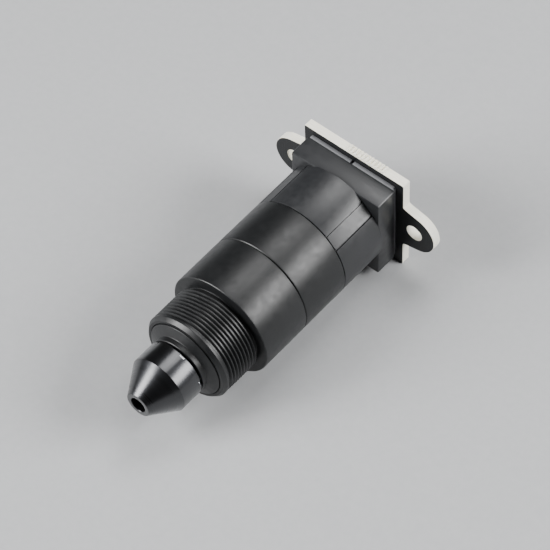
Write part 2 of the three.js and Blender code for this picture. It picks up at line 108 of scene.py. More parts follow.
def make_lights():
    world = bpy.data.worlds.new("studio")
    world.use_nodes = True
    world.node_tree.nodes["Background"].inputs["Color"].default_value = (1, 1, 1, 1)
    world.node_tree.nodes["Background"].inputs["Strength"].default_value = AMBIENT
    bpy.context.scene.world = world
    for name, (direction, distance, width, height, power) in SOFTBOXES.items():
        data = bpy.data.lights.new(name, "AREA")
        data.shape = "RECTANGLE"
        data.size = width
        data.size_y = height
        data.energy = power
        lamp = bpy.data.objects.new(name, data)
        towards = Vector(direction).normalized()
        lamp.location = CAMERA_TARGET + towards * distance
        lamp.rotation_euler = towards.to_track_quat("Z", "Y").to_euler()
        bpy.context.scene.collection.objects.link(lamp)


# ---- Node helpers ----


def srgb(code):
    """An sRGB hex colour as the linear colour that a shader takes."""
    parts = [int(code[i : i + 2], 16) / 255 for i in (1, 3, 5)]
    return [*(c / 12.92 if c <= 0.04045 else ((c + 0.055) / 1.055) ** 2.4 for c in parts), 1]


def add(tree, kind, inputs=None, **settings):
    """Adds a node with its settings, and gives each input a value or another node's output."""
    made = tree.nodes.new(kind)
    for key, value in settings.items():
        setattr(made, key, value)
    for key, value in (inputs or {}).items():
        if isinstance(value, bpy.types.NodeSocket):
            tree.links.new(value, made.inputs[key])
        else:
            made.inputs[key].default_value = value
    return made


def blank_material(name):
    """A material with nothing but its output, and its tree."""
    made = bpy.data.materials.new(name)
    made.use_nodes = True
    made.node_tree.nodes.clear()
    return made, made.node_tree


def per(size_mm):
    """A texture's scale for features of that size, on coordinates in metres."""
    return 1 / (size_mm * MM)


# ---- Materials ----


def moulded(name, colour, shade, roughness, grain, depth, specular=0.5, cloud=3.0, uneven=0.06):
    """A moulded or sprayed skin. grain and depth are its texture's size and height, cloud the size of its
    faint patches of shade, all in millimetres, and uneven is how far its roughness wanders."""
    material, tree = blank_material(name)
    place = add(tree, "ShaderNodeTexCoord").outputs["Object"]
    skin = add(tree, "ShaderNodeTexNoise", {"Vector": place, "Scale": per(grain), "Detail": 3.0})
    patches = add(tree, "ShaderNodeTexNoise", {"Vector": place, "Scale": per(cloud), "Detail": 4.0})
    tone = add(tree, "ShaderNodeMixRGB", {
        "Fac": patches.outputs["Fac"], "Color1": srgb(colour), "Color2": srgb(shade),
    })
    rough = add(tree, "ShaderNodeMapRange", {
        "Value": patches.outputs["Fac"], "From Min": 0.3, "From Max": 0.7,
        "To Min": roughness - uneven, "To Max": roughness + uneven,
    })
    relief = add(tree, "ShaderNodeBump", {
        "Height": skin.outputs["Fac"], "Strength": 1.0, "Distance": depth * MM,
    })
    shader = add(tree, "ShaderNodeBsdfPrincipled", {
        "Base Color": tone.outputs["Color"], "Roughness": rough.outputs["Result"],
        "Normal": relief.outputs["Normal"], "Specular IOR Level": specular,
    })
    add(tree, "ShaderNodeOutputMaterial", {"Surface": shader.outputs["BSDF"]})
    return material


def machined(name, colour, shade, roughness, mark, depth, coat=0.0, coat_roughness=0.1):
    """A metal turned or drawn about the barrel's axis. mark is the spacing of its tool marks and depth their
    height, in millimetres, and coat is the clear layer over it, such as a sealed oxide."""
    material, tree = blank_material(name)
    place = add(tree, "ShaderNodeTexCoord").outputs["Object"]
    along = add(tree, "ShaderNodeMapping", {"Vector": place, "Scale": (per(20), per(mark), per(20))})
    marks = add(tree, "ShaderNodeTexNoise", {
        "Vector": along.outputs["Vector"], "Scale": 1.0, "Detail": 2.0,
    })
    patches = add(tree, "ShaderNodeTexNoise", {"Vector": place, "Scale": per(2.5), "Detail": 3.0})
    tone = add(tree, "ShaderNodeMixRGB", {
        "Fac": patches.outputs["Fac"], "Color1": srgb(colour), "Color2": srgb(shade),
    })
    rough = add(tree, "ShaderNodeMapRange", {
        "Value": marks.outputs["Fac"], "From Min": 0.3, "From Max": 0.7,
        "To Min": roughness * 0.8, "To Max": roughness * 1.2,
    })
    relief = add(tree, "ShaderNodeBump", {
        "Height": marks.outputs["Fac"], "Strength": 1.0, "Distance": depth * MM,
    })
    shader = add(tree, "ShaderNodeBsdfPrincipled", {
        "Base Color": tone.outputs["Color"], "Metallic": 1.0, "Roughness": rough.outputs["Result"],
        "Normal": relief.outputs["Normal"], "Coat Weight": coat, "Coat Roughness": coat_roughness,
    })
    add(tree, "ShaderNodeOutputMaterial", {"Surface": shader.outputs["BSDF"]})
    return material


def cut_laminate():
    """Glass-epoxy laminate where it was routed: pale resin with the edges of its glass cloth as fine layers
    across the board's thickness, dry and slightly furred. The layers are 0.2 mm apart, as in real cloth."""
    material, tree = blank_material("glass_epoxy_laminate_routed")
    place = add(tree, "ShaderNodeTexCoord").outputs["Object"]
    across = add(tree, "ShaderNodeMapping", {"Vector": place, "Scale": (per(2), per(0.2), per(2))})
    layers = add(tree, "ShaderNodeTexNoise", {
        "Vector": across.outputs["Vector"], "Scale": 1.0, "Detail": 2.0,
    })
    fur = add(tree, "ShaderNodeTexNoise", {"Vector": place, "Scale": per(0.15), "Detail": 2.0})
    tone = add(tree, "ShaderNodeMixRGB", {
        "Fac": layers.outputs["Fac"], "Color1": srgb("#f6f4ea"), "Color2": srgb("#dedaca"),
    })
    relief = add(tree, "ShaderNodeBump", {
        "Height": fur.outputs["Fac"], "Strength": 1.0, "Distance": 0.02 * MM,
    })
    shader = add(tree, "ShaderNodeBsdfPrincipled", {
        "Base Color": tone.outputs["Color"], "Roughness": 0.75, "Normal": relief.outputs["Normal"],
        "Subsurface Weight": 0.15, "Subsurface Radius": (0.0008, 0.0007, 0.0005),
    })
    add(tree, "ShaderNodeOutputMaterial", {"Surface": shader.outputs["BSDF"]})
    return material


def solder_mask():
    """Black solder mask, screened and cured: a glossy ink that sinks between the threads of the glass cloth,
    so its gloss is broken by a faint square weave of threads 0.5 mm apart, as in real cloth."""
    material, tree = blank_material("solder_mask_black")
    place = add(tree, "ShaderNodeTexCoord").outputs["Object"]
    weave = []
    for direction in ("X", "Z"):
        wave = add(tree, "ShaderNodeTexWave", {
            "Vector": place, "Scale": per(0.5) * math.pi / 10, "Distortion": 0.6,
        }, bands_direction=direction)
        weave.append(wave.outputs["Fac"])
    cloth = add(tree, "ShaderNodeMath", {0: weave[0], 1: weave[1]}, operation="MULTIPLY")
    specks = add(tree, "ShaderNodeTexNoise", {"Vector": place, "Scale": per(0.25), "Detail": 4.0})
    height = add(tree, "ShaderNodeMath", {
        0: cloth.outputs["Value"], 1: specks.outputs["Fac"],
    }, operation="ADD")
    tone = add(tree, "ShaderNodeMixRGB", {
        "Fac": specks.outputs["Fac"], "Color1": srgb("#0b0c0d"), "Color2": srgb("#1b1c1e"),
    })
    rough = add(tree, "ShaderNodeMapRange", {
        "Value": specks.outputs["Fac"], "From Min": 0.3, "From Max": 0.7, "To Min": 0.28, "To Max": 0.42,
    })
    relief = add(tree, "ShaderNodeBump", {
        "Height": height.outputs["Value"], "Strength": 1.0, "Distance": 0.008 * MM,
    })
    shader = add(tree, "ShaderNodeBsdfPrincipled", {
        "Base Color": tone.outputs["Color"], "Roughness": rough.outputs["Result"],
        "Normal": relief.outputs["Normal"], "Specular IOR Level": 0.3,
    })
    add(tree, "ShaderNodeOutputMaterial", {"Surface": shader.outputs["BSDF"]})
    return material


def open_foam():
    """Polyurethane foam, cut from sheet: a grey sponge of open cells 0.4 mm across, with no gloss at all."""
    material, tree = blank_material("polyurethane_foam_cut")
    place = add(tree, "ShaderNodeTexCoord").outputs["Object"]
    cells = add(tree, "ShaderNodeTexVoronoi", {"Vector": place, "Scale": per(0.4)})
    # The cells' hollows are painted darker than their walls, following the same field as the bump: painted
    # shade in the pits, on a foam of one grey.
    tone = add(tree, "ShaderNodeMixRGB", {
        "Fac": cells.outputs["Distance"], "Color1": srgb("#4e5052"), "Color2": srgb("#8b8d90"),
    })
    relief = add(tree, "ShaderNodeBump", {
        "Height": cells.outputs["Distance"], "Strength": 1.0, "Distance": 0.2 * MM,
    })
    shader = add(tree, "ShaderNodeBsdfPrincipled", {
        "Base Color": tone.outputs["Color"], "Roughness": 0.95, "Normal": relief.outputs["Normal"],
        "Sheen Weight": 0.2,
    })
    add(tree, "ShaderNodeOutputMaterial", {"Surface": shader.outputs["BSDF"]})
    return material


def clear_resin():
    """Clear epoxy cast over a light-emitting die: a water-clear lens with a warm tint of phosphor under."""
    material, tree = blank_material("epoxy_lens_cast")
    place = add(tree, "ShaderNodeTexCoord").outputs["Object"]
    haze = add(tree, "ShaderNodeTexNoise", {"Vector": place, "Scale": per(0.4), "Detail": 2.0})
    tone = add(tree, "ShaderNodeMixRGB", {
        "Fac": haze.outputs["Fac"], "Color1": srgb("#f4f1dc"), "Color2": srgb("#e3dcae"),
    })
    shader = add(tree, "ShaderNodeBsdfPrincipled", {
        "Base Color": tone.outputs["Color"], "Roughness": 0.12, "Transmission Weight": 0.35, "IOR": 1.53,
    })
    add(tree, "ShaderNodeOutputMaterial", {"Surface": shader.outputs["BSDF"]})
    return material


def studio_floor():
    """Painted board: pale, matt and nearly even."""
    material, tree = blank_material("studio_board_painted")
    place = add(tree, "ShaderNodeTexCoord").outputs["Object"]
    tooth = add(tree, "ShaderNodeTexNoise", {"Vector": place, "Scale": per(1.2), "Detail": 4.0})
    tone = add(tree, "ShaderNodeMixRGB", {
        "Fac": tooth.outputs["Fac"], "Color1": srgb("#a0a1a3"), "Color2": srgb("#a9aaab"),
    })
    shader = add(tree, "ShaderNodeBsdfPrincipled", {"Base Color": tone.outputs["Color"], "Roughness": 0.85})
    add(tree, "ShaderNodeOutputMaterial", {"Surface": shader.outputs["BSDF"]})
    return material


# Turned aluminium, dyed black and sealed: the metal's gloss stays under the dye, with fine turned rings.
ANODISED = machined("anodised_aluminium_turned", "#2a2b2e", "#242528", 0.34, 0.16, 0.0008, 1.0, 0.24)
# Glass-filled nylon, moulded satin: a dense black with a fine even tooth and broad soft highlights.
BARREL = moulded("glass_filled_nylon_satin", "#111213", "#161718", 0.4, 0.22, 0.003, 0.4, 1.1, 0.05)
# ABS moulded on a spark-eroded tool: a little greyer and coarser than the barrel, so highlights spread more.
SHELL = moulded("abs_spark_textured", "#1b1c1e", "#232426", 0.4, 0.3, 0.004, 0.6, 0.9, 0.05)
# Nitrile rubber, pressed and oiled: deep black with a wet line of light.
RUBBER = moulded("nitrile_rubber_moulded", "#0d0d0e", "#151516", 0.5, 0.4, 0.004)
# Silicone sheet, die cut: mid grey, dull and very slightly powdery.
SILICONE = moulded("silicone_sheet_cut", "#6b6c6f", "#7d7e81", 0.7, 0.35, 0.01)
LAMINATE = cut_laminate()
MASK = solder_mask()
# Polycarbonate, moulded smooth so that sound isn't scattered: dark grey with a tight highlight.
POLYCARBONATE = moulded("polycarbonate_moulded", "#2b2c2f", "#333437", 0.3, 0.6, 0.002)
# Drawn aluminium with a satin etch: silver grey, soft reflections, faint draw lines.
ALUMINIUM = machined("aluminium_drawn", "#c6c8cb", "#b2b4b8", 0.34, 0.2, 0.002)
# Piezo ceramic with a fired silver face: chalky white metal with a coarse silk-screened tooth.
FIRED_SILVER = machined("silver_fired_on_ceramic", "#dcdcd8", "#c4c4bf", 0.48, 0.3, 0.006)
FOAM = open_foam()
# Phenolic paper board, punched: warm brown with a dry, mottled face.
PHENOLIC = moulded("phenolic_board_punched", "#7d4c2b", "#8f5c38", 0.6, 0.3, 0.01, cloud=1.2)
# Epoxy potting resin, poured: near black, level and glossy, with a faint swell.
POTTING = moulded("epoxy_potting_poured", "#211d19", "#2b2621", 0.18, 1.5, 0.02)
# Brass plated with bright tin: silver with a warm cast and slight frosting.
TINNED = machined("tin_plated_brass", "#dadad6", "#c8c6be", 0.26, 0.15, 0.001)
# Solder, reflowed: bright tin with a rounded skin and dull frosting.
SOLDER = machined("solder_reflowed", "#d5d6d8", "#b9bbbf", 0.3, 0.5, 0.004)
# PVC insulation, extruded: smooth and a little waxy, in red and in black.
RED_PVC = moulded("pvc_insulation_red", "#9f1d1c", "#b02622", 0.42, 0.5, 0.003)
BLACK_PVC = moulded("pvc_insulation_black", "#151515", "#1e1e1e", 0.42, 0.5, 0.003)
# Steel with bright zinc: blue-grey metal with soft streaks.
ZINC = machined("steel_zinc_plated", "#b9bcc2", "#9fa3aa", 0.28, 0.12, 0.002)
# Nylon 66, moulded natural: warm white and slightly waxy.
NYLON = moulded("nylon_moulded_natural", "#e6e1d2", "#dcd6c4", 0.45, 0.3, 0.004)
# Epoxy compound, moulded round a chip: charcoal with a fine matt sand texture.
EPOXY = moulded("epoxy_compound_moulded", "#1b1b1c", "#262627", 0.6, 0.14, 0.008)
# Deep-drawn crystal lid, tin plated: bright and slightly wavy.
TIN_LID = machined("tin_plated_lid", "#cfd0d2", "#bcbec1", 0.22, 0.8, 0.003)
# Tantalum capacitor case, moulded: mustard yellow, with its anode bar printed in brown.
TANTALUM = moulded("epoxy_case_yellow", "#c9922e", "#bd8527", 0.5, 0.2, 0.005)
ANODE_BAR = moulded("case_printing_brown", "#5b3314", "#643a19", 0.55, 0.2, 0.004)
# Barium titanate, sintered: biscuit brown, matt, with a slight speckle.
CERAMIC = moulded("barium_titanate_sintered", "#a58a6b", "#b59a7b", 0.62, 0.12, 0.004, cloud=0.5)
# Alumina substrate, fired white, and the black glaze over the resistor's film.
ALUMINA = moulded("alumina_fired", "#e7e6e2", "#dcdbd6", 0.55, 0.15, 0.003)
GLAZE = moulded("resistor_glaze_fired", "#141517", "#1d1e20", 0.25, 0.3, 0.002)
LENS = clear_resin()
# Ferrite, pressed and tumbled: dark grey, stony, with worn lighter patches.
FERRITE = moulded("ferrite_sintered", "#2f2e2d", "#3f3d3b", 0.62, 0.18, 0.012, cloud=0.9)
# Copper wire under polyurethane enamel: orange metal with a clear varnish gloss.
COPPER = machined("enamelled_copper_wire", "#b9663a", "#a4552d", 0.3, 0.4, 0.001, 0.6, 0.12)


# ---- Mesh helpers ----

SHELL_SIDES = 144
SMALL_SIDES = 72
SHARP = math.radians(28)


def mesh_of(points, faces, name="shape"):
    """A closed mesh facing outwards, with its doubled points merged."""
    made = bpy.data.meshes.new(name)
    made.from_pydata([tuple(p) for p in points], [], faces)
    work = bmesh.new()
    work.from_mesh(made)
    bmesh.ops.remove_doubles(work, verts=work.verts, dist=1e-5)
    bmesh.ops.dissolve_degenerate(work, edges=work.edges, dist=1e-6)
    loose = [edge for edge in work.edges if not edge.link_faces]
    bmesh.ops.delete(work, geom=loose, context="EDGES")
    bmesh.ops.recalc_face_normals(work, faces=work.faces)
    if work.calc_volume(signed=True) < 0:
        bmesh.ops.reverse_faces(work, faces=work.faces)
    work.to_mesh(made)
    work.free()
    return made


def soften(corners, closed=True, steps=3):
    """An outline whose corners, each (a, b) or (a, b, radius), are rounded by short curves."""
    points = []
    count = len(corners)
    for i, corner in enumerate(corners):
        here = Vector(corner[:2])
        radius = corner[2] if len(corner) > 2 else 0
        if not radius or (not closed and i in (0, count - 1)):
            points.append(here)
            continue
        before = Vector(corners[i - 1][:2]) - here
        after = Vector(corners[(i + 1) % count][:2]) - here
        half = before.angle(after) / 2
        length = min(radius / max(math.tan(half), 1e-6), 0.45 * before.length, 0.45 * after.length)
        start = here + before.normalized() * length
        end = here + after.normalized() * length
        for step in range(steps + 1):
            t = step / steps
            points.append(start * (1 - t) ** 2 + here * 2 * t * (1 - t) + end * t**2)
    return points


def lathe(corners, sides=SHELL_SIDES):
    """A ring turned about the Y axis from a closed outline of (radius, y, corner radius)."""
    outline = soften(corners)
    points, faces = [], []
    for side in range(sides):
        turn = 2 * math.pi * side / sides
        points += [(r * math.sin(turn), y, r * math.cos(turn)) for r, y in outline]
    count = len(outline)
    for side in range(sides):
        for i in range(count):
            a, b = side * count + i, side * count + (i + 1) % count
            c, d = (side + 1) % sides * count + (i + 1) % count, (side + 1) % sides * count + i
            faces.append((a, b, c, d))
    return mesh_of(points, faces)


def rod(radius, front, back, edge=0.05, sides=SMALL_SIDES, x=0, z=0):
    """A round bar along Y with softened ends."""
    made = lathe([(0, front), (radius, front, edge), (radius, back, edge), (0, back)], sides)
    made.transform(Matrix.Translation((x, 0, z)))
    return made


def inset(loop, depth):
    """A flat loop moved inwards by depth, or outwards if the loop runs clockwise."""
    moved = []
    for i, here in enumerate(loop):
        before, after = (here - loop[i - 1]).normalized(), (loop[(i + 1) % len(loop)] - here).normalized()
        normal = Vector((-before.y, before.x)) + Vector((-after.y, after.x))
        moved.append(here + normal * depth / max(normal.length_squared / 2, 0.2))
    return moved


def plate(outline, front, back, holes=(), edge=0.0, steps=2):
    """A flat piece from an anticlockwise outline in X and Z, spanning two Y planes, with softened rims. A
    hole is a clockwise loop."""
    levels = [(front, edge), (back, edge)]
    if edge:
        round_off = [(edge * (1 - math.sin(a)), edge * (1 - math.cos(a)))
                     for a in (math.pi / 2 * i / steps for i in range(steps + 1))]
        levels = [(front + rise, inward) for inward, rise in reversed(round_off)]
        levels = sorted(levels) + [(back + front - y, inward) for y, inward in reversed(sorted(levels))]
    loops = [outline, *holes]
    points, faces, starts = [], [], []
    for loop in loops:
        starts.append(len(points))
        for y, inward in levels:
            points += [(p.x, y, p.y) for p in inset(loop, inward)]
    for loop, start in zip(loops, starts):
        count = len(loop)
        for level in range(len(levels) - 1):
            for i in range(count):
                a, b = start + level * count + i, start + level * count + (i + 1) % count
                faces.append((a, b, b + count, a + count))
    for level in (0, len(levels) - 1):
        rims = [[start + level * len(loop) + i for i in range(len(loop))]
                for loop, start in zip(loops, starts)]
        flat = [i for rim in rims for i in rim]
        drawn = [[Vector((points[i][0], points[i][2], 0)) for i in rim] for rim in rims]
        triangles = tessellate_polygon(drawn)
        faces += [tuple(flat[i] for i in triangle) for triangle in triangles]
    return mesh_of(points, faces)


def rectangle(w, h, x=0.0, z=0.0, corner=0.0):
    """An anticlockwise rectangle about a centre."""
    ends = [(sx * w / 2, sz * h / 2, corner) for sx, sz in ((-1, -1), (1, -1), (1, 1), (-1, 1))]
    return [point + Vector((x, z)) for point in soften(ends)]


def circle(radius, x=0.0, z=0.0, sides=48):
    """A clockwise loop, for a hole."""
    turns = [-2 * math.pi * i / sides for i in range(sides)]
    return [Vector((x + radius * math.cos(a), z + radius * math.sin(a))) for a in turns]


def slab(x, z, w, h, front, back, corner=0.1, edge=0.06):
    """A block with rounded corners and softened rims."""
    return plate(rectangle(w, h, x, z, corner), front, back, edge=edge)


def tapered(x, z, w, h, front, back, draft, waist=0.5, corner=0.06):
    """A moulded block that narrows by draft from its parting line, at the waist's share of its height, to
    both ends, with a small chamfer round its back."""
    chamfer = 0.04
    levels = [(front, draft), (front + (back - front) * waist, 0), (back - chamfer, draft),
              (back, draft + chamfer)]
    rings = [(y, rectangle(w - 2 * inward, h - 2 * inward, x, z, corner)) for y, inward in levels]
    count = len(rings[0][1])
    points = [(p.x, y, p.y) for y, ring in rings for p in ring]
    faces = []
    for level in range(len(levels) - 1):
        for i in range(count):
            a, b = level * count + i, level * count + (i + 1) % count
            faces.append((a, b, b + count, a + count))
    faces += [tuple(range(count)), tuple((len(levels) - 1) * count + i for i in range(count))]
    return mesh_of(points, faces)


def sweep(route, radius, sides=16):
    """A round wire along a list of points, with flat ends."""
    route = [Vector(p) for p in route]
    points, faces = [], []
    side = Vector((1, 0, 0))
    for i, here in enumerate(route):
        ahead = (route[min(i + 1, len(route) - 1)] - route[max(i - 1, 0)]).normalized()
        side = (side - ahead * side.dot(ahead)).normalized()
        other = ahead.cross(side)
        turns = [2 * math.pi * k / sides for k in range(sides)]
        points += [here + (side * math.cos(a) + other * math.sin(a)) * radius for a in turns]
    for i in range(len(route) - 1):
        for k in range(sides):
            a, b = i * sides + k, i * sides + (k + 1) % sides
            faces.append((a, b, b + sides, a + sides))
    faces += [tuple(range(sides)), tuple((len(route) - 1) * sides + k for k in range(sides))]
    return mesh_of(points, faces)


def linked(mesh, name="maker"):
    """A passing object that holds a mesh while a modifier works on it."""
    made = bpy.data.objects.new(name, mesh)
    bpy.context.scene.collection.objects.link(made)
    return made


def settled(holder, *helpers):
    """The plain mesh that an object's modifiers make. The object and its helpers are removed."""
    depsgraph = bpy.context.evaluated_depsgraph_get()
    made = bpy.data.meshes.new_from_object(holder.evaluated_get(depsgraph), depsgraph=depsgraph)
    for passing in (holder, *helpers):
        bpy.data.objects.remove(passing)
    return made


def combine(mesh, others, operation):
    """Joins closed meshes to a mesh (UNION), or cuts them from it (DIFFERENCE)."""
    holder = linked(mesh)
    helpers = [linked(other) for other in others]
    for helper in helpers:
        step = holder.modifiers.new("combine", "BOOLEAN")
        step.operation = operation
        step.solver = "MANIFOLD"
        step.material_mode = "TRANSFER"
        step.object = helper
    return settled(holder, *helpers)


def together(*meshes):
    """Several meshes as one, each keeping its own material."""
    work = bmesh.new()
    materials = []
    for mesh in meshes:
        old = len(work.faces)
        work.from_mesh(mesh)
        work.faces.ensure_lookup_table()
        names = list(mesh.materials)
        for face in work.faces[old:]:
            material = names[face.material_index]
            if material not in materials:
                materials.append(material)
            face.material_index = materials.index(material)
    made = bpy.data.meshes.new("assembly")
    work.to_mesh(made)
    work.free()
    for material in materials:
        made.materials.append(material)
    return made


def painted(mesh, material):
    """The mesh, wholly in one material."""
    mesh.materials.clear()
    mesh.materials.append(material)
    for face in mesh.polygons:
        face.material_index = 0
    return mesh


def finish_piece(name, mesh, slot, *nodes, body="housing"):
    """Places a mesh in the frame as a piece that stands for its CAD nodes, smooth but for its real edges."""
    mesh.transform(TO_FRAME)
    mesh.name = name
    mesh.shade_smooth()
    mesh.set_sharp_from_angle(angle=SHARP)
    piece = linked(mesh, name)
    if nodes:
        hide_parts(*nodes)
    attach(piece, body)
    return piece


# ---- Geometry node trees ----


def new_tree(name, **sizes):
    """A geometry tree with named inputs, each of a socket kind, and its input and output nodes."""
    tree = bpy.data.node_groups.new(name, "GeometryNodeTree")
    for label, kind in sizes.items():
        tree.interface.new_socket(name=label, in_out="INPUT", socket_type="NodeSocket" + kind)
    tree.interface.new_socket(name="Geometry", in_out="OUTPUT", socket_type="NodeSocketGeometry")
    return tree, add(tree, "NodeGroupInput").outputs


def close_tree(tree, geometry, material):
    """Ends a tree in real geometry with its material."""
    real = add(tree, "GeometryNodeRealizeInstances", {"Geometry": geometry})
    coloured = add(tree, "GeometryNodeSetMaterial", {
        "Geometry": real.outputs["Geometry"], "Material": material,
    })
    add(tree, "NodeGroupOutput", {"Geometry": coloured.outputs["Geometry"]})
    return tree


def grown(tree, mesh=None, helpers=(), **sizes):
    """The mesh that a geometry tree makes of its named sizes."""
    holder = linked(mesh or bpy.data.meshes.new("seed"))
    step = holder.modifiers.new("grow", "NODES")
    step.node_group = tree
    for item in tree.interface.items_tree:
        if item.in_out == "INPUT" and item.name in sizes:
            step[item.identifier] = sizes[item.name]
    return settled(holder, *helpers)


def helix_tree(name, round_wire):
    """A right-handed helix about the Y axis. A thread's ridge has flanks, a crest and tapered ends, and a
    round wire keeps its size."""
    tree, size = new_tree(name, Turns="Float", Pitch="Float", Radius="Float", Steps="Int", Height="Float",
                          Base="Float", Crest="Float", Fade="Float", Start="Vector", Material="Material")
    rise = add(tree, "ShaderNodeMath", {0: size["Turns"], 1: size["Pitch"]}, operation="MULTIPLY")
    line = add(tree, "GeometryNodeCurveSpiral", {
        "Resolution": size["Steps"], "Rotations": size["Turns"], "Start Radius": size["Radius"],
        "End Radius": size["Radius"], "Height": rise.outputs["Value"], "Reverse": True,
    })
    held = add(tree, "GeometryNodeSetCurveNormal", {"Curve": line.outputs["Curve"]}, mode="Z_UP")
    if round_wire:
        section = add(tree, "GeometryNodeCurvePrimitiveCircle", {"Resolution": 10, "Radius": size["Height"]})
        share = 1.0
    else:
        section = add(tree, "GeometryNodeCurvePrimitiveQuadrilateral", mode="POINTS")
        # The foot of the ridge is buried in the core by a sixth of its height.
        buried = add(tree, "ShaderNodeMath", {0: size["Height"], 1: -1 / 6}, operation="MULTIPLY")
        foot, crest = buried.outputs["Value"], size["Height"]
        places = [(foot, "Base", -0.5), (crest, "Crest", -0.5), (crest, "Crest", 0.5), (foot, "Base", 0.5)]
        for i, (out, width, side) in enumerate(places):
            half = add(tree, "ShaderNodeMath", {0: size[width], 1: side}, operation="MULTIPLY")
            corner = add(tree, "ShaderNodeCombineXYZ", {"X": out, "Y": half.outputs["Value"]})
            tree.links.new(corner.outputs["Vector"], section.inputs[f"Point {i + 1}"])
        along = add(tree, "GeometryNodeSplineParameter").outputs["Factor"]
        back = add(tree, "ShaderNodeMath", {0: 1.0, 1: along}, operation="SUBTRACT")
        nearer = add(tree, "ShaderNodeMath", {0: along, 1: back.outputs["Value"]}, operation="MINIMUM")
        share = add(tree, "ShaderNodeMapRange", {
            "Value": nearer.outputs["Value"], "From Min": 0.0, "From Max": size["Fade"],
            "To Min": 0.1, "To Max": 1.0,
        }).outputs["Result"]
    swept = add(tree, "GeometryNodeCurveToMesh", {
        "Curve": held.outputs["Curve"], "Profile Curve": section.outputs["Curve"],
        "Scale": share, "Fill Caps": True,
    })
    laid = add(tree, "GeometryNodeTransform", {
        "Geometry": swept.outputs["Mesh"], "Translation": size["Start"], "Rotation": (-math.pi / 2, 0, 0),
    })
    return close_tree(tree, laid.outputs["Geometry"], size["Material"])


def repeat_tree():
    """One copy of a piece on each point of the mesh it is given."""
    tree, size = new_tree("repeat_on_points", Geometry="Geometry", Unit="Object", Material="Material")
    unit = add(tree, "GeometryNodeObjectInfo", {"Object": size["Unit"]})
    copies = add(tree, "GeometryNodeInstanceOnPoints", {
        "Points": size["Geometry"], "Instance": unit.outputs["Geometry"],
    })
    return close_tree(tree, copies.outputs["Instances"], size["Material"])


def leg_tree():
    """Two facing rows of legs about a chip's centre."""
    tree, size = new_tree("two_rows_of_legs", Count="Int", Pitch="Float", Row="Float", Centre="Vector",
                          Unit="Object", Material="Material")
    gaps = add(tree, "ShaderNodeMath", {0: size["Count"], 1: 1.0}, operation="SUBTRACT")
    length = add(tree, "ShaderNodeMath", {0: gaps.outputs["Value"], 1: size["Pitch"]}, operation="MULTIPLY")
    first = add(tree, "ShaderNodeMath", {0: length.outputs["Value"], 1: -0.5}, operation="MULTIPLY")
    corner = add(tree, "ShaderNodeCombineXYZ", {"X": first.outputs["Value"], "Z": size["Row"]})
    stride = add(tree, "ShaderNodeCombineXYZ", {"X": size["Pitch"]})
    line = add(tree, "GeometryNodeMeshLine", {
        "Count": size["Count"], "Start Location": corner.outputs["Vector"],
        "Offset": stride.outputs["Vector"],
    })
    unit = add(tree, "GeometryNodeObjectInfo", {"Object": size["Unit"]})
    row = add(tree, "GeometryNodeInstanceOnPoints", {
        "Points": line.outputs["Mesh"], "Instance": unit.outputs["Geometry"],
    })
    facing = add(tree, "GeometryNodeTransform", {
        "Geometry": row.outputs["Instances"], "Rotation": (0, math.pi, 0),
    })
    both = add(tree, "GeometryNodeJoinGeometry", {"Geometry": row.outputs["Instances"]})
    tree.links.new(facing.outputs["Geometry"], both.inputs["Geometry"])
    placed = add(tree, "GeometryNodeTransform", {
        "Geometry": both.outputs["Geometry"], "Translation": size["Centre"],
    })
    return close_tree(tree, placed.outputs["Geometry"], size["Material"])


def trace_tree():
    """Copper tracks: each edge chain of the mesh it is given becomes a low ribbon."""
    tree, size = new_tree("tracks_on_edges", Geometry="Geometry", Width="Float", Thickness="Float",
                          Material="Material")
    line = add(tree, "GeometryNodeMeshToCurve", {"Mesh": size["Geometry"]})
    held = add(tree, "GeometryNodeSetCurveNormal", {"Curve": line.outputs["Curve"], "Normal": (0, 1, 0)},
               mode="FREE")
    section = add(tree, "GeometryNodeCurvePrimitiveQuadrilateral", {
        "Width": size["Thickness"], "Height": size["Width"],
    })
    ribbon = add(tree, "GeometryNodeCurveToMesh", {
        "Curve": held.outputs["Curve"], "Profile Curve": section.outputs["Curve"], "Fill Caps": True,
    })
    return close_tree(tree, ribbon.outputs["Mesh"], size["Material"])


THREAD = helix_tree("screw_thread", False)
WINDING = helix_tree("wire_winding", True)
REPEAT = repeat_tree()
LEGS = leg_tree()
TRACKS = trace_tree()


def repeated(unit, places, material):
    """Copies of a mesh at a list of points."""
    seed = bpy.data.meshes.new("places")
    seed.from_pydata([tuple(p) for p in places], [], [])
    maker = linked(painted(unit, material), "unit")
    return grown(REPEAT, seed, (maker,), Unit=maker, Material=material)


# ---- Nozzle, bush and collar ----

TIP_R, TIP_BORE_R, STEM_BORE_R = 2.2, 1.4, 2.3
CONE_LENGTH = 4.8
STEM_R = 3.25
NOZZLE_GAP = 0.4  # between the nozzle's rear rim and the bush
BOSS_R, BUSH_BORE_R = 5.15, 3.4
BOSS_DEPTH, BUSH_RIM = 0.8, 0.85  # before and behind the collar's face
NOTCHES = 6
NOTCH_WIDTH, NOTCH_DEPTH, NOTCH_HEIGHT, NOTCH_FIRST = 0.9, 0.5, 0.45, math.radians(20)
RING_GROOVE, RING_SLACK = 0.38, 0.07
THREAD_PITCH, THREAD_HEIGHT, THREAD_LAND = 0.68, 0.42, 1.0
THREAD_FOOT, THREAD_CREST = 0.96, 0.16  # shares of the pitch
THREAD_RUN_IN, THREAD_FADE = 0.2, 0.4  # the slope behind the land, and the turns that each end fades over
COLLAR_CHAMFER = 0.6
COLLAR_FACE_R, COLLAR_RELIEF_R, THREAD_CREST_R = 7.5, 7.35, 8.0
RELIEF = 0.55
COLLAR_LENGTH = 8.2  # from the collar's face back to the barrel's shoulder
BARREL_BORE_R, COLLAR_BORE_R, SPIGOT_R, SPIGOT_BORE_R = 8.2, 6.15, 8.1, 7.2
SHOULDER_WALL, SPIGOT_STEP, SPIGOT_REACH = 1.2, 1.0, 3.0
EDGE, SLIP = 0.15, 0.1


